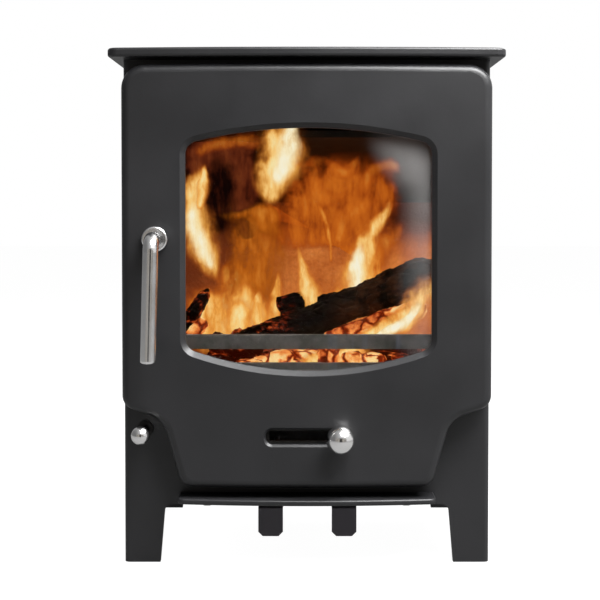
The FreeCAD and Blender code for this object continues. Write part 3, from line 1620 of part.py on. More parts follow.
def make_handle():
    """The bent bar that turns the latch, with its spindle."""
    body = turned_body("handle_bar", size.handle_lean_angle)
    start = -(door_end_forward + size.rosette_seat_margin + size.seat_gap)
    bend = size.handle_bend_radius
    forward = -size.handle_forward
    foot = handle_foot_height - handle_height
    path = sketch_on(body, "side", 0, "path")
    places = [(start, 0), (forward + bend, 0), (forward, -bend), (forward, foot)]
    points = [FreeCAD.Vector(as_size(u).value, as_size(v).value, 0) for u, v in places]
    diagonal = FreeCAD.Vector(-bend.value * DIAGONAL_SHARE, bend.value * DIAGONAL_SHARE, 0)
    middle = FreeCAD.Vector(points[1].x, points[2].y, 0) + diagonal
    path.addGeometry([Part.LineSegment(points[0], points[1]), Part.Arc(points[1], middle, points[2]),
                      Part.LineSegment(points[2], points[3])], False)
    for edge in (0, 1):
        path.addConstraint(Sketcher.Constraint("Coincident", edge, 2, edge + 1, 1))
    for (edge, end), (u, v) in zip(((0, 1), (0, 2), (2, 1), (2, 2)), places):
        add_constraint(path, "DistanceX", (-1, 1, edge, end), u)
        add_constraint(path, "DistanceY", (-1, 1, edge, end), v)
    add_constraint(path, "Radius", (1,), bend)
    section = sketch_on(body, "front", start, "section")
    draw_circle(section, 0, 0, size.handle_bar_radius)
    DOC.recompute()
    bar = body.newObject("PartDesign::AdditivePipe", "handle_bar_pipe")
    bar.Profile = section
    bar.Spine = (path, ["Edge1", "Edge2", "Edge3"])
    DOC.recompute()
    round_edges(body, "end", size.handle_end_radius, [(ANYWHERE, ANYWHERE, beside(foot))])
    spindle = sketch_on(body, "front", start, "spindle")
    draw_circle(spindle, 0, 0, size.spindle_radius)
    pad(body, spindle, -start - size.spindle_tail, flip=True)
    keep(body)


def make_latch():
    """The latch tongue on the spindle's end, and its nut."""
    body = turned_body("latch_cam", size.cam_angle)
    front = -size.cam_front
    hub = sketch_on(body, "front", front, "hub")
    draw_circle(hub, 0, 0, size.cam_hub_radius)
    pad(body, hub, size.cam_thickness, flip=True)
    half = size.cam_width / 2
    tongue = sketch_on(body, "front", front, "tongue")
    draw(tongue, rectangle(-size.cam_reach, 0, -half, half))
    pad(body, tongue, size.cam_thickness, flip=True)
    bore = sketch_on(body, "front", front, "bore")
    draw_circle(bore, 0, 0, size.spindle_radius)
    pocket(body, bore, size.cam_thickness)
    keep(body)
    nut_front = ahead(size.cam_front - size.cam_thickness)
    place_of_nut = (-handle_x, nut_front, handle_height)
    blank = hexagon("latch_nut_blank", size.latch_nut_radius, "Y", place_of_nut, size.latch_nut_height)
    hole = rod("latch_nut_hole", size.spindle_radius, "Y", place_of_nut, size.latch_nut_height)
    keep(without("latch_nut", blank, [hole]))


def make_ash_pan():
    """The ash pan and its bent wire handle."""
    body = new_body("ash_pan")
    half = pan_half_width
    front = behind(size.pan_front)
    back = front + pan_length
    rim = pan_floor + size.pan_height
    outline = sketch_on(body, "plan", pan_floor, "outline")
    draw(outline, rectangle(-half, half, front, back))
    pad(body, outline, size.pan_height)
    corners = [(beside(x), beside(y), ANYWHERE) for x in (-half, half) for y in (front, back)]
    round_edges(body, "corners", size.pan_corner_radius, corners)
    sheet = size.pan_sheet
    inside = sketch_on(body, "plan", rim, "inside")
    draw(inside, rectangle(sheet - half, half - sheet, front + sheet, back - sheet))
    pocket(body, inside, size.pan_height - sheet)
    keep(body)
    make_pan_handle(front, pan_floor + size.pan_height / 2)


def make_pan_handle(front, height):
    """Two arms and a bar, all of one wire."""
    radius = size.pan_handle_radius
    reach = size.pan_handle_reach
    half = size.pan_handle_half_width
    arms = [rod(name + "_pan_arm", radius, "Y", (x, front - reach, height), reach)
            for name, x in (("left", -half), ("right", half))]
    elbows = [ball(name + "_pan_elbow", radius, (x, front - reach, height)) for name, x in (("left", -half),
                                                                                           ("right", half))]
    bar = rod("pan_grip", radius, "X", (-half, front - reach, height), half * 2)
    keep(fused("ash_pan_handle", arms + elbows + [bar]))


def main():
    """Makes every piece, tests them all, and writes one file for each."""
    make_front_frame()
    make_back_panel()
    make_sides()
    make_base()
    make_ledges()
    make_top_plate()
    make_blanking()
    make_lip()
    make_shield()
    make_collar()
    make_tie_rods()
    make_lining()
    make_grate()
    make_guard()
    make_deflector()
    make_hinges()
    make_keeper()
    make_riddle_bearings()
    make_riddling()
    make_door_casting()
    make_glazing()
    make_glass_bar("upper_glass_bar", 1)
    make_glass_bar("lower_glass_bar", -1)
    keep(group("air_guides", [make_air_guide("upper_air_guide", 1), make_air_guide("lower_air_guide", -1)]))
    make_screws("glass_screws", bar_screw_places(), ahead(seat_forward) + size.bar_thickness)
    make_screws("guide_screws", guide_screw_places(), slide_channel + size.guide_lip)
    make_rope()
    make_air_slide()
    make_rosette()
    make_handle()
    make_latch()
    make_ash_pan()
    DOC.recompute()
    faulty = [thing.Name for thing in DOC.Objects if {"Invalid", "Error"} & set(thing.State)]
    if faulty:
        raise RuntimeError("failed objects: " + ", ".join(faulty))
    for piece in NODES:
        if piece.Shape.isNull() or not piece.Shape.isValid():
            raise RuntimeError(piece.Label + " has no valid shape")
    os.makedirs("parts", exist_ok=True)
    for piece in NODES:
        piece.Shape.exportStep(f"parts/{piece.Label}.step")
    print(len(NODES), "pieces written")


main()
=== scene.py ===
import json
import math
import random

import bpy
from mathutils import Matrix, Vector, noise


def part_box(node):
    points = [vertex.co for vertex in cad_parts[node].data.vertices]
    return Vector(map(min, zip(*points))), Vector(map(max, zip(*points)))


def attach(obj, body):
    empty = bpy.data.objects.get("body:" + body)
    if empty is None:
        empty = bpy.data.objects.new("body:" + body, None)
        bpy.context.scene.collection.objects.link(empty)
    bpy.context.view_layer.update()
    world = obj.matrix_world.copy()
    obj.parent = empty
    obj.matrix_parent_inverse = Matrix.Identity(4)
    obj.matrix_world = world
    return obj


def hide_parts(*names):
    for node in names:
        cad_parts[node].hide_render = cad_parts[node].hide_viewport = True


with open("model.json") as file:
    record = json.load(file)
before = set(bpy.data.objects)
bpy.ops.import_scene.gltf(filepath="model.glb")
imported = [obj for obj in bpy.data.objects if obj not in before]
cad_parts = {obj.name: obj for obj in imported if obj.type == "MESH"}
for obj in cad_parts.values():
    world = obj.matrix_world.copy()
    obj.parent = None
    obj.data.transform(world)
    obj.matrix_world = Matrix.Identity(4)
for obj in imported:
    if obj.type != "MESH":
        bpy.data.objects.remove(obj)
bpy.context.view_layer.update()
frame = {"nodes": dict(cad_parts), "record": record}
nodes = frame["nodes"]
CHANCE = random.Random(7)

# The camera, as the photograph was taken: places in metres, the tilt in degrees
CAMERA_Y = -1.660
CAMERA_Z = 0.399
CAMERA_TILT = 1.8
LEVEL_ANGLE = 90
LENS = 83.1
VIEW_SHIFT = (-0.0113, -0.0850)

# How the photograph's pixels lie on the plane of the front frame
FRAME_PLANE_Y = -0.1203
METRES_PER_PIXEL = 0.0011185
CENTRE_PIXEL = 306.3
HORIZON_PIXEL = 205

# The height that the embers lie on, in metres
GRATE_TOP = 0.198

# Where soot, painted firelight on the bricks, a painted reflection on the glass, a painted reflection on the
# bare iron, bark and heat begin and end, in metres, and the share that the glass's painted reflection hides
SOOT_HEIGHTS = (0.335, 0.395)
FIRELIGHT_HEIGHTS = (0.385, 0.335)
FIRELIGHT_SIDES = (-0.10, 0.0)
GLASS_REFLECTION_SIDES = (0.094, 0.143)
GLASS_REFLECTION_HEIGHTS = (0.28, 0.37)
GLASS_REFLECTION_LEAN_HEIGHTS = (0.40, 0.47)
GLASS_REFLECTION_LEAN = 0.035
GLASS_REFLECTION_COVER = 0.12
PAINTED_REFLECTION_SIDES = (0.0, 0.06)
BARK_SIDES = (0.01, 0.08)
LOG_HEAT_SIDES = (-0.005, -0.05)

# Flame sheets: their grid, and how they curve towards the viewer
FLAME_STEPS = 8
FLAME_COLUMNS = 11
FLAME_BULGE = 0.010
FLAME_WAVE = 0.004
FLAME_WAVES_ALONG = 7
FLAME_WAVES_DEEP = 90

# Logs: how lumpy, their grid and ends, and the (fineness round, fineness along, share) of each roughness
LOG_LUMPS = 0.30
LOG_ROWS = 120
LOG_COLUMNS = 48
LOG_END_SLOPE = 7
LOG_END_SHARE = 0.12
BARK_LAYERS = ((1.3, 14, 1.0), (3.5, 60, 0.5), (9, 240, 0.3))
PLATE_COLUMNS = 6
PLATE_FINENESS = 42
PLATE_STAGGER = 0.35
PLATE_SHARE = 0.5

# Lumps of charcoal
CHUNK_ROWS = 7
CHUNK_COLUMNS = 10
CHUNK_TURN = 2.3
CHUNK_SQUARE_SHARE = 0.55
CHUNK_ROUGH_SHARE = 0.22
CHUNK_FINENESS = 2.1
CHUNK_SEED_STEP = 0.77
CHUNK_DEPTH_SHARES = (0.6, 1.0)
CHUNK_HEIGHT_SHARES = (0.5, 0.8)

# The door's rope and the flat tape under its glass, both knitted
ROPE_RADIUS = 0.0044
ROPE_PLANE_Y = -0.1252
ROPE_HALF_SLOT = 0.0046
ROPE_FOOT_HALF = 0.125
ROPE_STEP_HEIGHT = 0.182
ROPE_CORNER = 0.012
TAPE_HALF_WIDTH = 0.0034
TAPE_CORNER = 0.007
CORNER_STEPS = 8
KNIT_STEP = 0.0014
KNIT_PITCH = 0.0075
KNIT_COLUMNS = 16
KNIT_STRANDS = 4
KNIT_DEPTH_SHARE = 0.07

# The studio: sizes in metres, and levels of light where 1 is white
BLACK = (0, 0, 0, 1)
WHITE = (1, 1, 1, 1)
WORLD_LEVEL = 0.06
MIRRORED_WORLD_LEVEL = 0.8
WORLD_SIDES = (-0.8, 0.6)
DARK_SIDE_SHARE = 0.22
FLOOR_REACH = 12.0
FLOOR_DROP = 0.0004
FLOOR_GREY = (0.12, 0.12, 0.12, 1)
FLOOR_LEVEL = 0.045
SHOWN_FLOOR_LEVEL = 0.985
MIRRORED_FLOOR_SHARE = 0.2
CARD_WHITE = (1.0, 0.93, 0.84, 1)
CARD_EDGE_SHARE = 1.15
CARD_FINENESS = 5.0
CARD_STRETCH = (1.0, 0.0, 0.25)
CARD_DARK_SHARE = 0.3


# Short calls that add nodes

class Tree:
    """A node tree, and the nodes that this script adds to it."""

    def __init__(self, tree):
        self.tree = tree

    def node(self, kind, inputs=None, **settings):
        made = self.tree.nodes.new(kind)
        for name, value in settings.items():
            setattr(made, name, value)
        for name, value in (inputs or {}).items():
            self.feed(made.inputs[name], value)
        return made

    def feed(self, socket, value):
        if isinstance(value, bpy.types.NodeSocket):
            self.tree.links.new(value, socket)
        else:
            socket.default_value = value

    def math(self, operation, first, second=0.0):
        return self.node("ShaderNodeMath", {0: first, 1: second}, operation=operation).outputs["Value"]

    def plus(self, first, second):
        return self.math("ADD", first, second)

    def times(self, first, *others):
        product = first
        for other in others:
            product = self.math("MULTIPLY", product, other)
        return product

    def spread(self, value, low=0.0, high=1.0, to_low=0.0, to_high=1.0):
        """From to_low at low to to_high at high, and no further."""
        inputs = {"Value": value, "From Min": low, "From Max": high, "To Min": to_low, "To Max": to_high}
        return self.node("ShaderNodeMapRange", inputs).outputs["Result"]

    def smooth(self, value, low, high):
        """From 0 at low to 1 at high, with soft ends."""
        inputs = {"Value": value, "From Min": low, "From Max": high}
        made = self.node("ShaderNodeMapRange", inputs, interpolation_type="SMOOTHSTEP")
        return made.outputs["Result"]

    def part(self, vector, axis):
        return self.node("ShaderNodeSeparateXYZ", {"Vector": vector}).outputs[axis]


class Surface(Tree):
    """A new material with one Principled shader, whose sockets are named with underscores for spaces."""

    def __init__(self, name, **values):
        self.material = bpy.data.materials.new(name)
        self.material.use_nodes = True
        super().__init__(self.material.node_tree)
        self.shader = self.tree.nodes["Principled BSDF"]
        self.place = self.node("ShaderNodeTexCoord").outputs["Object"]
        for socket, value in values.items():
            self.shader.inputs[socket.replace("_", " ")].default_value = value

    def drive(self, name, value):
        self.feed(self.shader.inputs[name], value)

    def place_along(self, axis):
        return self.part(self.place, axis)

    def upward(self):
        """1 where the surface faces up, 0 where it is upright."""
        return self.part(self.node("ShaderNodeNewGeometry").outputs["Normal"], "Z")

    def noise(self, scale, detail=3.0, roughness=0.5, where=None):
        inputs = {"Vector": where or self.place, "Scale": scale, "Detail": detail, "Roughness": roughness}
        return self.node("ShaderNodeTexNoise", inputs).outputs["Fac"]

    def cells(self, scale, where=None):
        """The distance to the nearest crack between irregular cells."""
        inputs = {"Vector": where or self.place, "Scale": scale}
        return self.node("ShaderNodeTexVoronoi", inputs, feature="DISTANCE_TO_EDGE").outputs["Distance"]

    def scaled(self, across, deep, up):
        made = self.node("ShaderNodeMapping", {"Vector": self.place, "Scale": (across, deep, up)})
        return made.outputs["Vector"]

    def warped(self, scale, reach):
        """The place, pushed about by a noise, so that patterns lose their straight lines."""
        cloud = self.node("ShaderNodeTexNoise", {"Vector": self.place, "Scale": scale, "Detail": 3.0})
        push = cloud.outputs["Color"]
        centred = self.node("ShaderNodeVectorMath", {0: push, 1: (0.5, 0.5, 0.5)}, operation="SUBTRACT")
        sized = self.node("ShaderNodeVectorMath", {0: centred.outputs[0], "Scale": reach}, operation="SCALE")
        moved = self.node("ShaderNodeVectorMath", {0: self.place, 1: sized.outputs[0]}, operation="ADD")
        return moved.outputs[0]

    def blend(self, share, first, second):
        """From the first colour to the second; each is a colour or the output of a node."""
        made = self.node("ShaderNodeMix", data_type="RGBA")
        colour_sockets = [socket for socket in made.inputs if socket.type == "RGBA"]
        self.feed(made.inputs["Factor"], share)
        for socket, colour in zip(colour_sockets, (first, second)):
            self.feed(socket, (*colour, 1) if isinstance(colour, tuple) else colour)
        return next(socket for socket in made.outputs if socket.type == "RGBA")

    def ramp(self, share, stops):
        """The colours of the stops, by their places from 0 to 1."""
        made = self.node("ShaderNodeValToRGB", {"Fac": share})
        elements = made.color_ramp.elements
        while len(elements) < len(stops):
            elements.new(0.5)
        for element, (at, colour) in zip(elements, stops.items()):
            element.position = at
            element.color = (*colour, 1)
        return made.outputs["Color"]

    def bump(self, height, distance, strength, over=None):
        inputs = {"Height": height, "Distance": distance, "Strength": strength}
        if over is not None:
            inputs["Normal"] = over
        return self.node("ShaderNodeBump", inputs).outputs["Normal"]


# Materials of the stove

def paint(name, dark, light, roughness):
    """Matt stove paint on a cast skin: faint clouds, fine grain, a soft sheen and dull dust on flat tops."""
    surface = Surface(name)
    clouds = surface.noise(scale=9.0, detail=4.0)
    grain = surface.noise(scale=900.0, detail=2.0)
    cast = surface.noise(scale=160.0)
    surface.drive("Base Color", surface.blend(surface.spread(clouds, low=0.35, high=0.65), dark, light))
    dust = surface.smooth(surface.upward(), low=0.93, high=0.99)
    surface.drive("Specular IOR Level", surface.spread(dust, to_low=0.5, to_high=0.12))
    worn = surface.spread(clouds, low=0.3, high=0.7, to_high=0.08)
    surface.drive("Roughness", surface.plus(worn, surface.spread(dust, to_low=roughness, to_high=0.75)))
    skin = surface.bump(cast, distance=0.0002, strength=0.35)
    surface.drive("Normal", surface.bump(grain, distance=0.00012, strength=0.5, over=skin))
    return surface.material


def bare_iron(name, dark, middle, light, painted_reflection_share):
    """Unpainted iron in the fire: brown-grey scale, pale ash where it faces up, and a painted bluish
    reflection in upright streaks on its right side.
    """
    ash_grey = (0.36, 0.34, 0.32)
    reflection_blue = (0.20, 0.24, 0.32)
    surface = Surface(name, Metallic=0.15, Specular_IOR_Level=0.35)
    flakes = surface.noise(scale=60.0, detail=6.0, roughness=0.6)
    grain = surface.noise(scale=420.0, detail=4.0)
    upright = surface.scaled(across=1.0, deep=0.0, up=0.0)
    stripes = surface.noise(scale=55.0, detail=2.0, where=upright)
    ash = surface.times(surface.spread(surface.upward(), low=0.6, high=0.95),
                        surface.spread(flakes, low=0.42, high=0.6, to_low=0.1, to_high=0.7))
    # Painted reflection: bluish upright streaks on the right side, as strong as the share given
    painted_reflection = surface.times(surface.smooth(stripes, low=0.5, high=0.7),
                          surface.smooth(surface.place_along("X"), *PAINTED_REFLECTION_SIDES), painted_reflection_share)
    body = surface.ramp(flakes, {0.3: dark, 0.55: middle, 0.8: light})
    surface.drive("Base Color", surface.blend(painted_reflection, surface.blend(ash, body, ash_grey), reflection_blue))
    surface.drive("Roughness", surface.spread(flakes, low=0.2, high=0.8, to_low=0.55, to_high=0.85))
    surface.drive("Normal", surface.bump(grain, distance=0.0004, strength=0.6))
    return surface.material


def steel(name, dark, light, roughness):
    """Plain steel with fine scratches and a little tarnish."""
    surface = Surface(name, Metallic=0.9)
    tarnish = surface.noise(scale=45.0, detail=5.0, roughness=0.6)
    along_grain = surface.scaled(across=60.0, deep=900.0, up=900.0)
    scratches = surface.noise(scale=1.0, roughness=0.7, where=along_grain)
    surface.drive("Base Color", surface.blend(surface.spread(tarnish, low=0.35, high=0.7), dark, light))
    scratched = roughness + 0.2
    surface.drive("Roughness", surface.spread(scratches, low=0.3, high=0.75, to_low=roughness,
                                              to_high=scratched))
    surface.drive("Normal", surface.bump(scratches, distance=0.00006, strength=0.4))
    return surface.material


def chrome():
    """Polished plating with the faint smears of use."""
    smeared = (0.78, 0.77, 0.75)
    bright = (0.86, 0.86, 0.87)
    surface = Surface("chrome_plate", Metallic=1.0)
    smear = surface.noise(scale=38.0, detail=4.0, roughness=0.6)
    surface.drive("Base Color", surface.blend(smear, smeared, bright))
    surface.drive("Roughness", surface.spread(smear, low=0.35, high=0.75, to_low=0.14, to_high=0.26))
    surface.drive("Normal", surface.bump(surface.noise(scale=140.0), distance=0.00004, strength=0.3))
    return surface.material


def firebrick():
    """Pale brick, sooted at the top, with painted firelight: an emission that stands in for the fire's light
    on it, strongest low down and to the right.
    """
    dark_brick = (0.15, 0.10, 0.06)
    pale_brick = (0.26, 0.18, 0.11)
    soot = (0.016, 0.010, 0.008)
    surface = Surface("firebrick_painted_firelight", Roughness=0.9, Specular_IOR_Level=0.15, Emission_Strength=1.0)
    grain = surface.noise(scale=260.0, detail=5.0, roughness=0.65)
    stain = surface.noise(scale=14.0, detail=4.0, roughness=0.55)
    wisps = surface.noise(scale=16.0, detail=5.0, roughness=0.62)
    height = surface.place_along("Z")
    sooted = surface.plus(surface.smooth(height, *SOOT_HEIGHTS),
                          surface.spread(stain, low=0.3, high=0.7, to_low=-0.25, to_high=0.25))
    clean = surface.blend(grain, dark_brick, pale_brick)
    surface.drive("Base Color", surface.blend(surface.spread(sooted), clean, soot))
    surface.drive("Normal", surface.bump(grain, distance=0.0012, strength=0.7))
    # Painted firelight: this emission stands in for the light the fire casts on the bricks, fading above the
    # soot line and to the left
    firelight_below = surface.spread(surface.smooth(height, *FIRELIGHT_HEIGHTS), to_low=0.12)
    firelight_right = surface.spread(surface.smooth(surface.place_along("X"), *FIRELIGHT_SIDES), to_low=0.45)
    firelight = surface.times(firelight_below, firelight_right, surface.spread(wisps, low=0.25, high=0.7, to_low=0.45),
                         surface.spread(grain, low=0.3, high=0.7, to_low=0.85, to_high=1.05))
    surface.drive("Emission Color", surface.ramp(firelight, {
        0.0: (0.012, 0.002, 0.001),
        0.3: (0.11, 0.020, 0.006),
        0.6: (0.42, 0.10, 0.018),
        1.0: (0.78, 0.27, 0.06),
    }))
    return surface.material


def pane():
    """Clear ceramic glass with a pale painted reflection that thickens to its right edge and its upper right
    corner.
    """
    clear = (0.97, 0.97, 0.96)
    # The ash colour and the mask below are a painted reflection: a pale film that thickens to the right edge
    # and upper right corner and hides some of the fire
    ash = (0.34, 0.28, 0.27)
    surface = Surface("clear_pane", Roughness=0.02, IOR=1.45)
    height = surface.place_along("Z")
    lean = surface.times(surface.smooth(height, *GLASS_REFLECTION_LEAN_HEIGHTS), GLASS_REFLECTION_LEAN)
    edge = surface.smooth(surface.plus(surface.place_along("X"), lean), *GLASS_REFLECTION_SIDES)
    strong = surface.spread(height, *GLASS_REFLECTION_HEIGHTS, to_low=0.5)
    clouds = surface.noise(scale=22.0, detail=4.0)
    cloudy = surface.spread(clouds, low=0.3, high=0.7, to_low=0.75, to_high=1.1)
    painted_glass_reflection = surface.times(edge, strong, cloudy, GLASS_REFLECTION_COVER)
    surface.drive("Base Color", surface.blend(painted_glass_reflection, clear, ash))
    surface.drive("Transmission Weight", surface.math("SUBTRACT", 1.0, painted_glass_reflection))
    return surface.material


def soft_rope():
    """Knitted glass fibre, pale grey with brown scorch marks."""
    pale = (0.45, 0.44, 0.42)
    scorched = (0.16, 0.13, 0.11)
    surface = Surface("glass_fibre_knit", Roughness=0.95, Specular_IOR_Level=0.15, Sheen_Weight=0.3)
    scorch = surface.spread(surface.noise(scale=30.0, detail=4.0), low=0.45, high=0.75)
    surface.drive("Base Color", surface.blend(scorch, pale, scorched))
    surface.drive("Normal", surface.bump(surface.cells(scale=650.0), distance=0.0005, strength=0.8))
    return surface.material


# Materials of the fire

def charred_wood():
    """Burnt wood: black cracked blocks, brown where the bark is left, and heat at its left end."""
    surface = Surface("charred_wood", Specular_IOR_Level=0.15, Emission_Strength=0.8)
    where = surface.scaled(across=0.45, deep=1.0, up=1.0)
    cracks = surface.cells(scale=60.0, where=where)
    grain = surface.noise(scale=150.0, detail=6.0, roughness=0.7, where=where)
    patches = surface.noise(scale=20.0, detail=4.0, roughness=0.6)
    side = surface.place_along("X")
    barked = surface.times(surface.smooth(patches, low=0.46, high=0.60), surface.smooth(side, *BARK_SIDES))
    black = surface.ramp(grain, {
        0.3: (0.001, 0.001, 0.001),
        0.6: (0.006, 0.004, 0.003),
        0.85: (0.016, 0.009, 0.006),
    })
    brown = surface.ramp(grain, {
        0.3: (0.02, 0.008, 0.003),
        0.7: (0.11, 0.045, 0.02),
    })
    surface.drive("Base Color", surface.blend(barked, black, brown))
    surface.drive("Roughness", surface.spread(grain, low=0.2, high=0.8, to_low=0.65, to_high=0.9))
    blocks = surface.bump(surface.spread(cracks, high=0.12), distance=0.002, strength=0.9)
    surface.drive("Normal", surface.bump(grain, distance=0.002, strength=0.8, over=blocks))
    heat = surface.times(surface.smooth(grain, low=0.5, high=0.66), surface.smooth(side, *LOG_HEAT_SIDES))
    surface.drive("Emission Color", surface.ramp(heat, {
        0.0: (0.0, 0.0, 0.0),
        0.5: (0.28, 0.025, 0.004),
        1.0: (0.75, 0.16, 0.03),
    }))
    return surface.material


def glowing_ember(name, hot, scale):
    """Charcoal that glows through its skin, over more of it where hot is higher, with dark cracks and ash."""
    coal = (0.012, 0.008, 0.006)
    ash = (0.13, 0.10, 0.08)
    surface = Surface(name, Roughness=0.85, Specular_IOR_Level=0.1, Emission_Strength=0.95)
    cracks = surface.cells(scale, where=surface.warped(scale=60.0, reach=0.016))
    patches = surface.noise(scale=38.0, detail=5.0, roughness=0.6)
    surface.drive("Base Color", surface.blend(surface.spread(patches, low=0.5, high=0.7), coal, ash))
    surface.drive("Normal", surface.bump(surface.spread(cracks, high=0.1), distance=0.0015, strength=0.8))
    skin = surface.spread(surface.smooth(cracks, low=0.01, high=0.16), to_low=0.12)
    glow_begins = 0.66 - 0.36 * hot
    glow_full = 0.80 - 0.16 * hot
    heat = surface.times(skin, surface.smooth(patches, low=glow_begins, high=glow_full))
    surface.drive("Emission Color", surface.ramp(heat, {
        0.0: (0.02, 0.001, 0.0),
        0.22: (0.30, 0.025, 0.003),
        0.55: (0.80, 0.20, 0.04),
        0.8: (1.0, 0.40, 0.10),
        1.0: (1.0, 0.70, 0.30),
    }))
    return surface.material


# Five hues for each kind of flame and smoke, from its edge to its middle
HUE_STEPS = (0.0, 0.25, 0.5, 0.75, 1.0)
CORE_HUES = ((0.95, 0.55, 0.20), (1.0, 0.70, 0.34), (1.0, 0.80, 0.44), (1.0, 0.88, 0.58), (1.0, 0.95, 0.76))
BRIGHT_HUES = ((0.40, 0.070, 0.006), (0.68, 0.18, 0.020), (0.90, 0.38, 0.065), (1.0, 0.62, 0.20),
               (1.0, 0.84, 0.42))
ORANGE_HUES = ((0.20, 0.024, 0.002), (0.40, 0.064, 0.005), (0.64, 0.150, 0.012), (0.86, 0.32, 0.045),
               (1.0, 0.60, 0.17))
AMBER_HUES = ((0.12, 0.020, 0.001), (0.28, 0.060, 0.003), (0.50, 0.120, 0.008), (0.72, 0.23, 0.025),
              (0.95, 0.58, 0.16))
SMOKE_HUES = ((0.004, 0.001, 0.001), (0.024, 0.004, 0.002), (0.070, 0.011, 0.004), (0.13, 0.024, 0.007),
              (0.22, 0.05, 0.012))
SOOT_HUES = ((0.001, 0.001, 0.001), (0.002, 0.001, 0.001), (0.003, 0.001, 0.001), (0.005, 0.002, 0.001),
             (0.010, 0.003, 0.002))


def flame_material(name, hues, power, cover, softness):
    """A sheet of burning gas or smoke: pale along its middle, streaked, and clear at its soft edges."""
    surface = Surface(name, Base_Color=BLACK, Roughness=1.0, Specular_IOR_Level=0.0, Emission_Strength=1.0)
    marks = surface.node("ShaderNodeUVMap", uv_map="flame").outputs["UV"]
    across = surface.part(marks, "X")
    along = surface.part(marks, "Y")
    curls = surface.noise(scale=30.0, roughness=0.55)
    upright = surface.scaled(across=1.0, deep=1.0, up=0.3)
    streaks = surface.noise(scale=95.0, detail=4.0, roughness=0.6, where=upright)
    sway = surface.times(surface.spread(curls, low=0.3, high=0.7, to_low=-0.5, to_high=0.5),
                         surface.spread(along, to_low=0.08, to_high=0.32))
    off_middle = surface.math("ABSOLUTE", surface.math("SUBTRACT", surface.plus(across, sway), 0.5))
    middle = surface.smooth(off_middle, low=0.5, high=0.5 - softness)
    tip = surface.smooth(along, low=1.0, high=0.72)
    foot = surface.smooth(along, low=0.0, high=0.14)
    left = surface.smooth(across, low=0.0, high=0.12)
    right = surface.smooth(across, low=1.0, high=0.88)
    heat = surface.times(middle, tip, foot, left, right,
                         surface.spread(streaks, low=0.30, high=0.66, to_low=0.56, to_high=1.14),
                         surface.spread(curls, low=0.3, high=0.7, to_low=0.82, to_high=1.08))
    surface.drive("Emission Color", surface.ramp(surface.times(heat, power), dict(zip(HUE_STEPS, hues))))
    surface.drive("Alpha", surface.times(surface.smooth(heat, low=0.0, high=0.85), cover))
    return surface.material


# Meshes

def mesh_object(name, points, faces, material, smooth=True):
    """A new piece from points and faces."""
    mesh = bpy.data.meshes.new(name)
    mesh.from_pydata(points, [], faces)
    mesh.update()
    for face in mesh.polygons:
        face.use_smooth = smooth
    piece = bpy.data.objects.new(name, mesh)
    bpy.context.scene.collection.objects.link(piece)
    mesh.materials.append(material)
    return piece


def grid_faces(rows, columns, closed):
    """The faces between the rows of a grid of points."""
    faces = []
    spans = columns if closed else columns - 1
    for row in range(rows - 1):
        for column in range(spans):
            following = (column + 1) % columns
            low = row * columns
            high = low + columns
            faces.append((low + column, low + following, high + following, high + column))
    return faces


def in_firebox(piece):
    """Says that a piece of the fire stays with the body, as the bricks do."""
    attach(piece, "stove_body")


def seen(pixel_x, pixel_y, depth):
    """The place, this far behind the front frame, that the camera sees at a pixel of the photograph."""
    y = FRAME_PLANE_Y + depth
    scale = METRES_PER_PIXEL * (y - CAMERA_Y) / (FRAME_PLANE_Y - CAMERA_Y)
    return Vector(((pixel_x - CENTRE_PIXEL) * scale, y, CAMERA_Z - (pixel_y - HORIZON_PIXEL) * scale))


def smooth_line(points, steps):
    """Points along a curve that passes through all the given ones."""
    padded = [points[0] * 2 - points[1], *points, points[-1] * 2 - points[-2]]
    line = []
    for number in range(len(points) - 1):
        before, start, end, after = padded[number:number + 4]
        for step in range(steps):
            t = step / steps
            slope = (end - before) * t
            bend = (before * 2 - start * 5 + end * 4 - after) * t ** 2
            twist = (start * 3 - before - end * 3 + after) * t ** 3
            line.append((start * 2 + slope + bend + twist) / 2)
    line.append(points[-1])
    return line


def flame(name, depth, material, places):
    """A curved sheet along a line of (pixel x, pixel y, half width in pixels), from foot to tip."""
    line = smooth_line([Vector(place) for place in places], FLAME_STEPS)
    points = []
    marks = []
    for row, (pixel_x, pixel_y, half_width) in enumerate(line):
        along = row / (len(line) - 1)
        wave = FLAME_WAVE * math.sin(along * FLAME_WAVES_ALONG + depth * FLAME_WAVES_DEEP)
        ahead = line[min(row + 1, len(line) - 1)] - line[max(row - 1, 0)]
        length = math.hypot(ahead.x, ahead.y)
        for column in range(FLAME_COLUMNS):
            across = column / (FLAME_COLUMNS - 1) * 2 - 1
            reach = across * half_width / length
            points.append(seen(pixel_x - reach * ahead.y, pixel_y + reach * ahead.x,
                               depth + FLAME_BULGE * across ** 2 + wave))
            marks.append(((across + 1) / 2, along))
    piece = mesh_object(name, points, grid_faces(len(line), FLAME_COLUMNS, closed=False), material)
    layer = piece.data.uv_layers.new(name="flame")
    for loop in piece.data.loops:
        layer.data[loop.index].uv = marks[loop.vertex_index]
    in_firebox(piece)


def bark(column, angle, travelled, seed):
    """How far a log's skin stands out from its middle, as a share of its radius."""
    round_place = Vector((math.cos(angle), math.sin(angle), 0))
    size = 1
    for fine_round, fine_along, share in BARK_LAYERS:
        shift = Vector((0, 0, travelled * fine_along + seed))
        size += LOG_LUMPS * share * noise.noise(round_place * fine_round + shift)
    strip = column // PLATE_COLUMNS
    middle_of_strip = strip + 0.5
    plate = Vector((middle_of_strip, travelled * PLATE_FINENESS + PLATE_STAGGER * strip, seed))
    return size + LOG_LUMPS * PLATE_SHARE * noise.cell(plate)


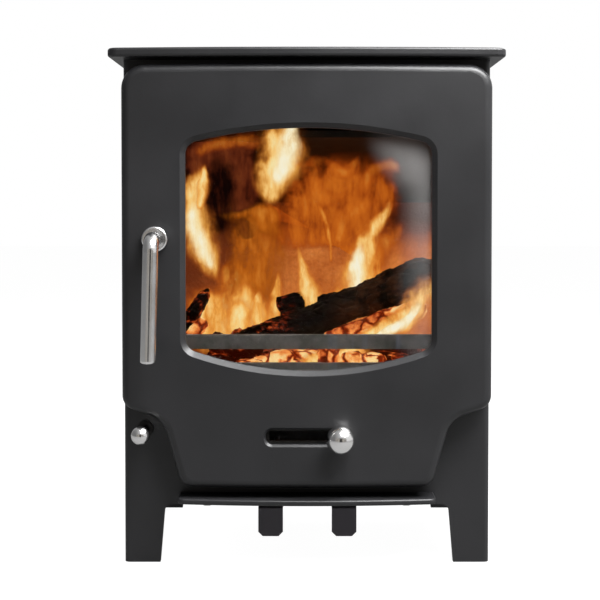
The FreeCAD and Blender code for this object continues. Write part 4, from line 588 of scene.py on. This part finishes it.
def log(name, start, end, radii, material, seed, taper):
    """A split and burnt log between two places: an uneven section with broken plates of bark along it."""
    axis = (end - start).normalized()
    side = axis.cross(Vector((0, 1, 0))).normalized()
    front = side.cross(axis)
    length = (end - start).length
    first_radius, last_radius = radii
    points = []
    for row in range(LOG_ROWS):
        along = row / (LOG_ROWS - 1)
        centre = start.lerp(end, along)
        ending = min(1.0, taper + LOG_END_SLOPE * min(along, 1 - along))
        radius = (first_radius + (last_radius - first_radius) * along) * ending
        for column in range(LOG_COLUMNS):
            angle = math.tau * column / LOG_COLUMNS
            outward = side * math.cos(angle) + front * math.sin(angle)
            points.append(centre + outward * radius * bark(column, angle, along * length, seed))
    faces = grid_faces(LOG_ROWS, LOG_COLUMNS, closed=True)
    first_tip = start - axis * first_radius * LOG_END_SHARE
    last_tip = end + axis * last_radius * LOG_END_SHARE
    for row, centre in ((0, first_tip), (LOG_ROWS - 1, last_tip)):
        hub = len(points)
        points.append(centre)
        for column in range(LOG_COLUMNS):
            pair = (row * LOG_COLUMNS + column, row * LOG_COLUMNS + (column + 1) % LOG_COLUMNS)
            faces.append((hub, *pair) if row else (hub, *reversed(pair)))
    in_firebox(mesh_object(name, points, faces, material))


def chunk(centre, size, seed):
    """The points and faces of one lump of charcoal: a block with broken faces."""
    half_width, half_depth, half_height = size
    turn = seed * CHUNK_TURN
    points = [centre - Vector((0, 0, half_height))]
    for row in range(1, CHUNK_ROWS):
        polar = math.pi * row / CHUNK_ROWS
        reach = math.sin(polar)
        for column in range(CHUNK_COLUMNS):
            angle = math.tau * column / CHUNK_COLUMNS
            ball = Vector((reach * math.cos(angle), reach * math.sin(angle), -math.cos(polar)))
            square = max(abs(ball.x), abs(ball.y), abs(ball.z))
            blocky = ball.lerp(ball / square, CHUNK_SQUARE_SHARE)
            shift = Vector((seed, seed * 2, 0))
            rough = 1 + CHUNK_ROUGH_SHARE * noise.noise(ball * CHUNK_FINENESS + shift)
            x = blocky.x * half_width * rough
            y = blocky.y * half_depth * rough
            z = blocky.z * half_height * rough
            points.append(centre + Vector((x * math.cos(turn) - y * math.sin(turn),
                                           x * math.sin(turn) + y * math.cos(turn), z)))
    points.append(centre + Vector((0, 0, half_height)))
    faces = [(0, 1 + (column + 1) % CHUNK_COLUMNS, 1 + column) for column in range(CHUNK_COLUMNS)]
    sides = grid_faces(CHUNK_ROWS - 1, CHUNK_COLUMNS, closed=True)
    faces += [tuple(1 + corner for corner in face) for face in sides]
    last = len(points) - 1
    ring = last - CHUNK_COLUMNS
    faces += [(last, ring + column, ring + (column + 1) % CHUNK_COLUMNS) for column in range(CHUNK_COLUMNS)]
    return points, faces


def ember_bed(name, count, material, across, deep, heights, half_widths):
    """Lumps of charcoal strewn over the grate."""
    points = []
    faces = []
    for number in range(count):
        wide = CHANCE.uniform(*half_widths)
        thick = wide * CHANCE.uniform(*CHUNK_DEPTH_SHARES)
        tall = wide * CHANCE.uniform(*CHUNK_HEIGHT_SHARES)
        centre = Vector((CHANCE.uniform(*across), CHANCE.uniform(*deep),
                         GRATE_TOP + CHANCE.uniform(*heights) + tall))
        made, shape = chunk(centre, (wide, thick, tall), number * CHUNK_SEED_STEP)
        shift = len(points)
        points += made
        faces += [tuple(corner + shift for corner in face) for face in shape]
    in_firebox(mesh_object(name, points, faces, material, smooth=False))


# The knitted seals

def rounded_line(turns, corner):
    """A closed line through the turns of a path, with a soft bend at each."""
    line = []
    places = [Vector((x, 0, z)) for x, z in turns]
    for number, here in enumerate(places):
        before = places[number - 1]
        after = places[(number + 1) % len(places)]
        start = here + (before - here).normalized() * corner
        end = here + (after - here).normalized() * corner
        for step in range(CORNER_STEPS + 1):
            t = step / CORNER_STEPS
            line.append(start * (1 - t) ** 2 + here * 2 * t * (1 - t) + end * t ** 2)
    return line


def even_line(line, spacing):
    """Points at even steps round a closed line."""
    closed = [*line, line[0]]
    lengths = [(after - before).length for before, after in zip(closed, closed[1:])]
    total = sum(lengths)
    count = round(total / spacing)
    points = []
    number = 0
    passed = 0.0
    for step in range(count):
        target = total * step / count
        while passed + lengths[number] < target:
            passed += lengths[number]
            number += 1
        share = (target - passed) / lengths[number] if lengths[number] else 0
        points.append(closed[number].lerp(closed[number + 1], share))
    return points


def knitted(name, line, half_width, half_thickness, plane_y, material, node):
    """A knitted cord or tape along a closed line: strands that cross in both directions."""
    line = even_line(line, KNIT_STEP)
    points = []
    for row, centre in enumerate(line):
        ahead = (line[(row + 1) % len(line)] - line[row - 1]).normalized()
        side = ahead.cross(Vector((0, 1, 0)))
        phase = row * KNIT_STEP / KNIT_PITCH * math.tau
        for column in range(KNIT_COLUMNS):
            angle = math.tau * column / KNIT_COLUMNS
            turned = angle * KNIT_STRANDS
            braid = max(math.sin(turned + phase), math.sin(turned - phase))
            size = 1 - KNIT_DEPTH_SHARE + KNIT_DEPTH_SHARE * braid
            points.append(centre + side * math.cos(angle) * half_width * size
                          + Vector((0, plane_y + math.sin(angle) * half_thickness * size, 0)))
    faces = grid_faces(len(line), KNIT_COLUMNS, closed=True)
    last = (len(line) - 1) * KNIT_COLUMNS
    for column in range(KNIT_COLUMNS):
        following = (column + 1) % KNIT_COLUMNS
        faces.append((last + column, last + following, following, column))
    piece = mesh_object(name, points, faces, material)
    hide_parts(node)
    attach(piece, "door")


def door_seal(material):
    """The rope in its groove, which steps in at the door's foot."""
    low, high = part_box("door_rope")
    left, right = low.x + ROPE_HALF_SLOT, high.x - ROPE_HALF_SLOT
    foot, top = low.z + ROPE_HALF_SLOT, high.z - ROPE_HALF_SLOT
    turns = [(-ROPE_FOOT_HALF, foot), (ROPE_FOOT_HALF, foot), (ROPE_FOOT_HALF, ROPE_STEP_HEIGHT),
             (right, ROPE_STEP_HEIGHT), (right, top), (left, top), (left, ROPE_STEP_HEIGHT),
             (-ROPE_FOOT_HALF, ROPE_STEP_HEIGHT)]
    knitted("knitted_door_rope", rounded_line(turns, ROPE_CORNER), ROPE_RADIUS, ROPE_RADIUS, ROPE_PLANE_Y,
            material, "door_rope")


def glass_seal(material):
    """The flat tape that the glass is pressed on."""
    low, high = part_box("glass_gasket")
    left, right = low.x + TAPE_HALF_WIDTH, high.x - TAPE_HALF_WIDTH
    foot, top = low.z + TAPE_HALF_WIDTH, high.z - TAPE_HALF_WIDTH
    turns = [(left, foot), (right, foot), (right, top), (left, top)]
    knitted("knitted_glass_tape", rounded_line(turns, TAPE_CORNER), TAPE_HALF_WIDTH, (high.y - low.y) / 2,
            (low.y + high.y) / 2, material, "glass_gasket")


# The studio

def add_lamp(name, place, target, size, power, colour, mirrored):
    """A soft rectangular lamp that points at a place; mirrored says whether reflections show it."""
    lamp = bpy.data.lights.new(name, "AREA")
    lamp.shape = "RECTANGLE"
    lamp.size, lamp.size_y = size
    lamp.energy = power
    lamp.color = colour
    holder = bpy.data.objects.new(name, lamp)
    holder.location = place
    holder.rotation_mode = "QUATERNION"
    holder.rotation_quaternion = (Vector(target) - Vector(place)).to_track_quat("-Z", "Y")
    holder.visible_glossy = mirrored
    bpy.context.scene.collection.objects.link(holder)


def make_world():
    """White for the camera and through glass; bright in reflections, low for the rest, both less at left."""
    world = bpy.data.worlds.new("studio")
    bpy.context.scene.world = world
    world.use_nodes = True
    world.node_tree.nodes.clear()
    tree = Tree(world.node_tree)
    path = tree.node("ShaderNodeLightPath").outputs
    shown = tree.math("MAXIMUM", path["Is Camera Ray"], path["Is Transmission Ray"])
    by_use = tree.spread(path["Is Glossy Ray"], to_low=WORLD_LEVEL, to_high=MIRRORED_WORLD_LEVEL)
    direction = tree.node("ShaderNodeTexCoord").outputs["Generated"]
    by_side = tree.spread(tree.part(direction, "X"), *WORLD_SIDES, to_low=DARK_SIDE_SHARE)
    strength = tree.math("MAXIMUM", tree.times(by_use, by_side), shown)
    background = tree.node("ShaderNodeBackground", {"Color": WHITE, "Strength": strength})
    tree.node("ShaderNodeOutputWorld", {"Surface": background.outputs[0]})


def stage_material(name):
    """A new material with an empty tree."""
    material = bpy.data.materials.new(name)
    material.use_nodes = True
    material.node_tree.nodes.clear()
    return material, Tree(material.node_tree)


def make_floor():
    """A pale floor that keeps the stove's shadow."""
    material, tree = stage_material("pale_floor")
    path = tree.node("ShaderNodeLightPath").outputs
    mirrored = tree.times(path["Is Glossy Ray"], MIRRORED_FLOOR_SHARE)
    shown = tree.math("MAXIMUM", path["Is Camera Ray"], mirrored)
    level = tree.spread(shown, to_low=FLOOR_LEVEL, to_high=SHOWN_FLOOR_LEVEL)
    glow = tree.node("ShaderNodeEmission", {"Color": WHITE, "Strength": level})
    diffuse = tree.node("ShaderNodeBsdfDiffuse", {"Color": FLOOR_GREY})
    both = tree.node("ShaderNodeAddShader", {0: diffuse.outputs[0], 1: glow.outputs[0]})
    tree.node("ShaderNodeOutputMaterial", {"Surface": both.outputs[0]})
    corners = [(-FLOOR_REACH, -FLOOR_REACH, -FLOOR_DROP), (FLOOR_REACH, -FLOOR_REACH, -FLOOR_DROP),
               (FLOOR_REACH, FLOOR_REACH, -FLOOR_DROP), (-FLOOR_REACH, FLOOR_REACH, -FLOOR_DROP)]
    mesh_object("studio_floor", corners, [(0, 1, 2, 3)], material)


def make_card(name, centre, half_width, half_height, clear_half, brightness):
    """A card that the camera sees only in glass and plating: black in its middle and striped outside."""
    material, tree = stage_material(name)
    place = tree.node("ShaderNodeTexCoord").outputs["Object"]
    off_middle = tree.math("ABSOLUTE", tree.part(place, "X"))
    outside = tree.spread(off_middle, low=clear_half, high=clear_half * CARD_EDGE_SHARE)
    stretched = tree.node("ShaderNodeMapping", {"Vector": place, "Scale": CARD_STRETCH}).outputs["Vector"]
    stripes = tree.node("ShaderNodeTexNoise", {"Vector": stretched, "Scale": CARD_FINENESS}).outputs["Fac"]
    dark = brightness * CARD_DARK_SHARE
    level = tree.spread(stripes, low=0.35, high=0.65, to_low=dark, to_high=brightness)
    glow = tree.node("ShaderNodeEmission", {"Color": CARD_WHITE, "Strength": tree.times(outside, level)})
    tree.node("ShaderNodeOutputMaterial", {"Surface": glow.outputs[0]})
    x, y, z = centre
    left, right = x - half_width, x + half_width
    foot, top = z - half_height, z + half_height
    corners = [(left, y, foot), (right, y, foot), (right, y, top), (left, y, top)]
    card = mesh_object(name, corners, [(0, 1, 2, 3)], material)
    card.visible_camera = False
    card.visible_diffuse = False
    card.visible_shadow = False


def make_camera():
    """The camera at the photograph's place."""
    camera = bpy.data.cameras.new("camera")
    camera.lens = LENS
    camera.shift_x, camera.shift_y = VIEW_SHIFT
    holder = bpy.data.objects.new("camera", camera)
    holder.location = (0, CAMERA_Y, CAMERA_Z)
    holder.rotation_euler = (math.radians(LEVEL_ANGLE - CAMERA_TILT), 0, 0)
    bpy.context.scene.collection.objects.link(holder)
    bpy.context.scene.camera = holder


# What each CAD node is made of: by its slot, or by its own name where soot has darkened it

FINISHES = {
    "stove_paint": paint("stove_paint", dark=(0.0100, 0.0100, 0.0110), light=(0.0135, 0.0135, 0.0148),
                         roughness=0.36),
    "bare_cast_iron": bare_iron("bare_iron", dark=(0.06, 0.055, 0.052), middle=(0.12, 0.112, 0.106),
                                light=(0.19, 0.16, 0.135), painted_reflection_share=0.5),
    "firebrick": firebrick(),
    "polished_chrome": chrome(),
    "plain_steel": steel("plain_steel", dark=(0.22, 0.21, 0.20), light=(0.42, 0.42, 0.43), roughness=0.32),
    "door_glass": pane(),
    "sealing_rope": soft_rope(),
    "shield_paint": paint("shield_paint", dark=(0.062, 0.055, 0.067), light=(0.074, 0.066, 0.081),
                          roughness=0.42),
    "ash_pan_steel": steel("ash_pan_steel", dark=(0.05, 0.05, 0.052), light=(0.10, 0.10, 0.10),
                           roughness=0.45),
}

SOOTED_STEEL = steel("sooted_steel", dark=(0.02, 0.019, 0.018), light=(0.05, 0.047, 0.045), roughness=0.5)
SOOTED_IRON = bare_iron("sooted_iron", dark=(0.006, 0.004, 0.003), middle=(0.014, 0.009, 0.007),
                        light=(0.03, 0.018, 0.012), painted_reflection_share=0.0)
SOOTED_NODES = {
    "riddle_rod": SOOTED_STEEL,
    "riddle_bush": SOOTED_STEEL,
    "airwash_deflector": SOOTED_STEEL,
    "air_slide_plate": SOOTED_STEEL,
    "air_guides": SOOTED_STEEL,
    "baffle": SOOTED_IRON,
}

slots = {entry["node"]: entry["material_slot"] for entry in frame["record"]["subparts"]}
for name, piece in nodes.items():
    piece.data.materials.clear()
    piece.data.materials.append(SOOTED_NODES.get(name, FINISHES[slots[name]]))

door_seal(FINISHES["sealing_rope"])
glass_seal(FINISHES["sealing_rope"])

# What burns: a power is how far up its hues a flame goes, and a cover how much of what is behind it hides

FUELS = {
    "char": charred_wood(),
    "hot_ember": glowing_ember("hot_ember", hot=1.25, scale=46.0),
    "dull_ember": glowing_ember("dull_ember", hot=0.45, scale=60.0),
}
FIRES = {
    "white_fire": {"hues": CORE_HUES, "power": 1.0, "cover": 1.0, "softness": 0.5},
    "bright_fire": {"hues": BRIGHT_HUES, "power": 0.90, "cover": 0.98, "softness": 0.5},
    "warm_fire": {"hues": BRIGHT_HUES, "power": 0.72, "cover": 0.97, "softness": 0.5},
    "orange_fire": {"hues": ORANGE_HUES, "power": 0.86, "cover": 0.75, "softness": 0.5},
    "dim_fire": {"hues": ORANGE_HUES, "power": 0.48, "cover": 0.90, "softness": 0.30},
    "faint_fire": {"hues": ORANGE_HUES, "power": 0.62, "cover": 0.5, "softness": 0.5},
    "amber_fire": {"hues": AMBER_HUES, "power": 0.62, "cover": 0.85, "softness": 0.46},
    "red_smoke": {"hues": SMOKE_HUES, "power": 0.75, "cover": 0.97, "softness": 0.25},
    "black_smoke": {"hues": SOOT_HUES, "power": 0.6, "cover": 0.97, "softness": 0.5},
    "thin_smoke": {"hues": SMOKE_HUES, "power": 0.5, "cover": 0.6, "softness": 0.5},
}
for name, values in FIRES.items():
    FUELS[name] = flame_material(name, **values)

# Logs in the photograph: both ends as (pixel x, pixel y, depth), their radii, the fuel, a seed and a taper
LOGS = [
    ("main_log", (228, 349, 0.082), (438, 270, 0.082), (0.0165, 0.0200), "char", 1.0, 0.6),
    ("front_log", (322, 342, 0.056), (424, 305, 0.056), (0.0085, 0.0120), "hot_ember", 4.0, 0.6),
    ("left_log", (178, 340, 0.070), (208, 288, 0.070), (0.0120, 0.0060), "char", 7.0, 0.3),
    ("small_log", (277, 305, 0.098), (304, 298, 0.098), (0.0090, 0.0100), "char", 9.0, 0.6),
    ("glowing_block", (186, 338, 0.060), (206, 320, 0.060), (0.0075, 0.0070), "hot_ember", 11.0, 0.6),
    ("ashen_log", (210, 341, 0.066), (262, 350, 0.074), (0.0130, 0.0120), "dull_ember", 13.0, 0.6),
]
for name, start, end, radii, fuel, seed, taper in LOGS:
    log(name, seen(*start), seen(*end), radii, FUELS[fuel], seed, taper=taper)

# Where the embers lie and how large they are, in metres
ember_bed("ember_bed", count=70, material=FUELS["dull_ember"], across=(-0.145, 0.145), deep=(-0.085, 0.105),
          heights=(0.0, 0.012), half_widths=(0.010, 0.020))
ember_bed("front_embers", count=26, material=FUELS["hot_ember"], across=(-0.070, 0.080),
          deep=(-0.088, -0.070), heights=(0.004, 0.018), half_widths=(0.010, 0.018))

# Flames in the photograph: depth, fire, and a line of (pixel x, pixel y, half width) from foot to tip
FLAMES = [
    ("red_smoke_left", 0.075, "red_smoke",
     [(222, 220, 38), (220, 208, 46), (220, 194, 50), (222, 172, 50), (226, 150, 48), (232, 128, 46),
      (236, 100, 40)]),
    ("black_smoke_left", 0.060, "black_smoke",
     [(220, 238, 8), (218, 222, 17), (220, 204, 24), (222, 186, 27), (221, 166, 21), (219, 144, 12)]),
    ("top_left_glow", 0.045, "faint_fire",
     [(192, 156, 8), (208, 147, 11), (228, 142, 12), (250, 141, 12), (272, 144, 9)]),
    ("left_flame", 0.040, "bright_fire",
     [(220, 284, 5), (212, 268, 14), (205, 250, 25), (198, 234, 29), (194, 218, 27), (193, 200, 25),
      (197, 184, 21), (202, 172, 14), (206, 158, 4)]),
    ("left_core", 0.030, "white_fire",
     [(213, 272, 3), (208, 259, 10), (200, 243, 14), (194, 227, 14), (193, 211, 11), (195, 194, 4)]),
    ("left_tip", 0.034, "bright_fire",
     [(198, 212, 4), (202, 198, 8), (204, 184, 9), (205, 172, 6), (205, 161, 2)]),
    ("top_flame", 0.034, "bright_fire",
     [(275, 210, 5), (272, 198, 16), (272, 186, 25), (275, 172, 32), (279, 160, 37), (280, 148, 38),
      (281, 136, 33), (281, 124, 28), (281, 104, 16)]),
    ("top_core", 0.025, "white_fire",
     [(272, 190, 6), (279, 174, 14), (285, 158, 17), (288, 146, 17), (290, 134, 13), (292, 122, 10),
      (293, 104, 5)]),
    ("amber_haze", 0.106, "amber_fire",
     [(262, 316, 20), (256, 296, 34), (256, 276, 42), (260, 256, 46), (260, 240, 44), (254, 226, 38),
      (246, 212, 32), (240, 196, 18)]),
    ("amber_arc", 0.094, "amber_fire",
     [(212, 211, 10), (230, 209, 17), (250, 211, 19), (268, 223, 19), (288, 244, 10)]),
    ("dark_eye", 0.088, "thin_smoke",
     [(247, 240, 7), (246, 232, 13), (244, 222, 13), (243, 213, 7)]),
    ("base_veil", 0.108, "orange_fire",
     [(232, 356, 80), (232, 332, 84), (232, 310, 72), (236, 292, 54), (242, 272, 36), (248, 250, 16)]),
    ("base_left", 0.098, "warm_fire",
     [(228, 346, 32), (222, 336, 44), (217, 324, 46), (212, 310, 34), (208, 296, 20), (206, 282, 7)]),
    ("base_middle", 0.095, "warm_fire",
     [(254, 354, 34), (252, 336, 42), (250, 320, 42), (247, 304, 32), (244, 288, 17), (242, 272, 5)]),
    ("base_right", 0.099, "warm_fire",
     [(268, 344, 22), (270, 328, 24), (273, 312, 18), (276, 294, 11), (278, 278, 6), (279, 264, 2)]),
    ("base_streak_left", 0.088, "bright_fire",
     [(206, 344, 8), (204, 330, 12), (200, 316, 12), (203, 302, 8), (208, 288, 3)]),
    ("base_streak_right", 0.087, "bright_fire",
     [(262, 338, 8), (260, 326, 11), (256, 312, 11), (258, 298, 7), (262, 284, 3)]),
    ("base_core", 0.085, "bright_fire",
     [(228, 350, 20), (234, 336, 26), (238, 322, 24), (240, 306, 14), (240, 292, 4)]),
    ("broad_flame", 0.104, "dim_fire",
     [(324, 250, 80), (324, 242, 82), (328, 234, 80), (331, 220, 76), (336, 206, 73), (344, 190, 69),
      (350, 176, 62), (354, 162, 52), (356, 142, 34)]),
    ("curl_left", 0.100, "faint_fire",
     [(346, 186, 4), (339, 197, 10), (326, 199, 13), (316, 188, 13), (312, 174, 12), (314, 162, 10),
      (325, 160, 8), (336, 170, 4)]),
    ("curl_spike", 0.099, "faint_fire",
     [(328, 158, 5), (337, 170, 12), (347, 171, 12), (354, 163, 8), (359, 153, 2)]),
    ("curl_right", 0.099, "faint_fire",
     [(360, 202, 5), (363, 186, 10), (369, 173, 12), (381, 166, 12), (394, 168, 10), (406, 180, 4)]),
    ("curl_middle", 0.101, "faint_fire",
     [(336, 248, 12), (340, 230, 20), (350, 212, 26), (362, 196, 22), (372, 180, 11)]),
    ("ridge_left", 0.101, "faint_fire",
     [(300, 226, 8), (305, 210, 9), (304, 196, 8), (298, 184, 6), (291, 174, 2)]),
    ("thin_flame", 0.097, "orange_fire",
     [(331, 266, 2), (330, 254, 4), (329, 240, 5), (326, 226, 6), (321, 210, 6), (316, 194, 3)]),
    ("tongue_flame", 0.093, "bright_fire",
     [(312, 324, 20), (311, 308, 25), (309, 294, 20), (305, 279, 13), (301, 264, 8), (298, 250, 4),
      (297, 238, 1)]),
    ("right_flame", 0.094, "bright_fire",
     [(350, 316, 34), (353, 298, 38), (357, 280, 32), (360, 264, 25), (365, 248, 20), (373, 230, 14),
      (382, 214, 9), (389, 202, 5), (393, 192, 1)]),
    ("right_core", 0.084, "white_fire",
     [(350, 314, 9), (354, 294, 15), (357, 274, 13), (358, 254, 9), (362, 236, 3)]),
    ("right_foot", 0.096, "bright_fire",
     [(312, 316, 10), (334, 304, 22), (354, 292, 26), (374, 280, 20), (394, 270, 8)]),
    ("second_flame", 0.097, "orange_fire",
     [(376, 296, 26), (375, 276, 26), (373, 258, 20), (371, 242, 12), (370, 228, 3)]),
    ("right_wisp", 0.098, "faint_fire",
     [(368, 268, 18), (380, 250, 20), (392, 234, 15), (402, 216, 6)]),
    ("front_right_flame", 0.034, "bright_fire",
     [(352, 340, 8), (374, 334, 14), (394, 325, 18), (410, 312, 21), (419, 296, 21), (426, 282, 17),
      (432, 266, 8)]),
    ("front_right_core", 0.030, "white_fire",
     [(368, 338, 4), (386, 331, 8), (402, 322, 9), (413, 310, 9), (420, 294, 5)]),
    ("low_front_flame", 0.026, "bright_fire",
     [(284, 372, 8), (308, 362, 12), (330, 356, 13), (352, 352, 12), (380, 350, 5)]),
]
for name, depth, fire, places in FLAMES:
    flame(name, depth, FUELS[fire], places)

# Places and sizes in metres, powers in watts
LAMPS = {
    "top_lamp": {"place": (0.70, -0.72, 1.60), "target": (0.10, -0.15, 0.52), "size": (1.4, 0.9),
                 "power": 104, "colour": (1.0, 1.0, 1.0), "mirrored": True},
    "key_lamp": {"place": (1.8, -1.7, 1.3), "target": (0, 0, 0.35), "size": (1.0, 1.0),
                 "power": 6, "colour": (1.0, 0.99, 0.98), "mirrored": False},
    "back_lamp": {"place": (0.6, 2.2, 1.8), "target": (0, 0, 0.3), "size": (1.4, 1.0),
                  "power": 40, "colour": (1.0, 1.0, 1.0), "mirrored": True},
    "left_lamp": {"place": (-2.2, 0.7, 1.3), "target": (0, 0.05, 0.3), "size": (1.2, 1.0),
                  "power": 40, "colour": (1.0, 1.0, 1.0), "mirrored": False},
}

# The front card shows in glass and plating, and the flue card keeps the open collar dark behind the glass
CARDS = {
    "front_card": {"centre": (0.0, -1.95, 0.52), "half_width": 1.7, "half_height": 0.52, "clear_half": 0.31,
                   "brightness": 0.5},
    "flue_card": {"centre": (0.0, 0.26, 0.48), "half_width": 0.10, "half_height": 0.10, "clear_half": 0.2,
                  "brightness": 0.0},
}
make_world()
make_floor()
for name, values in CARDS.items():
    make_card(name, **values)
for name, values in LAMPS.items():
    add_lamp(name, **values)
make_camera()
bpy.context.scene.view_settings.view_transform = "Standard"
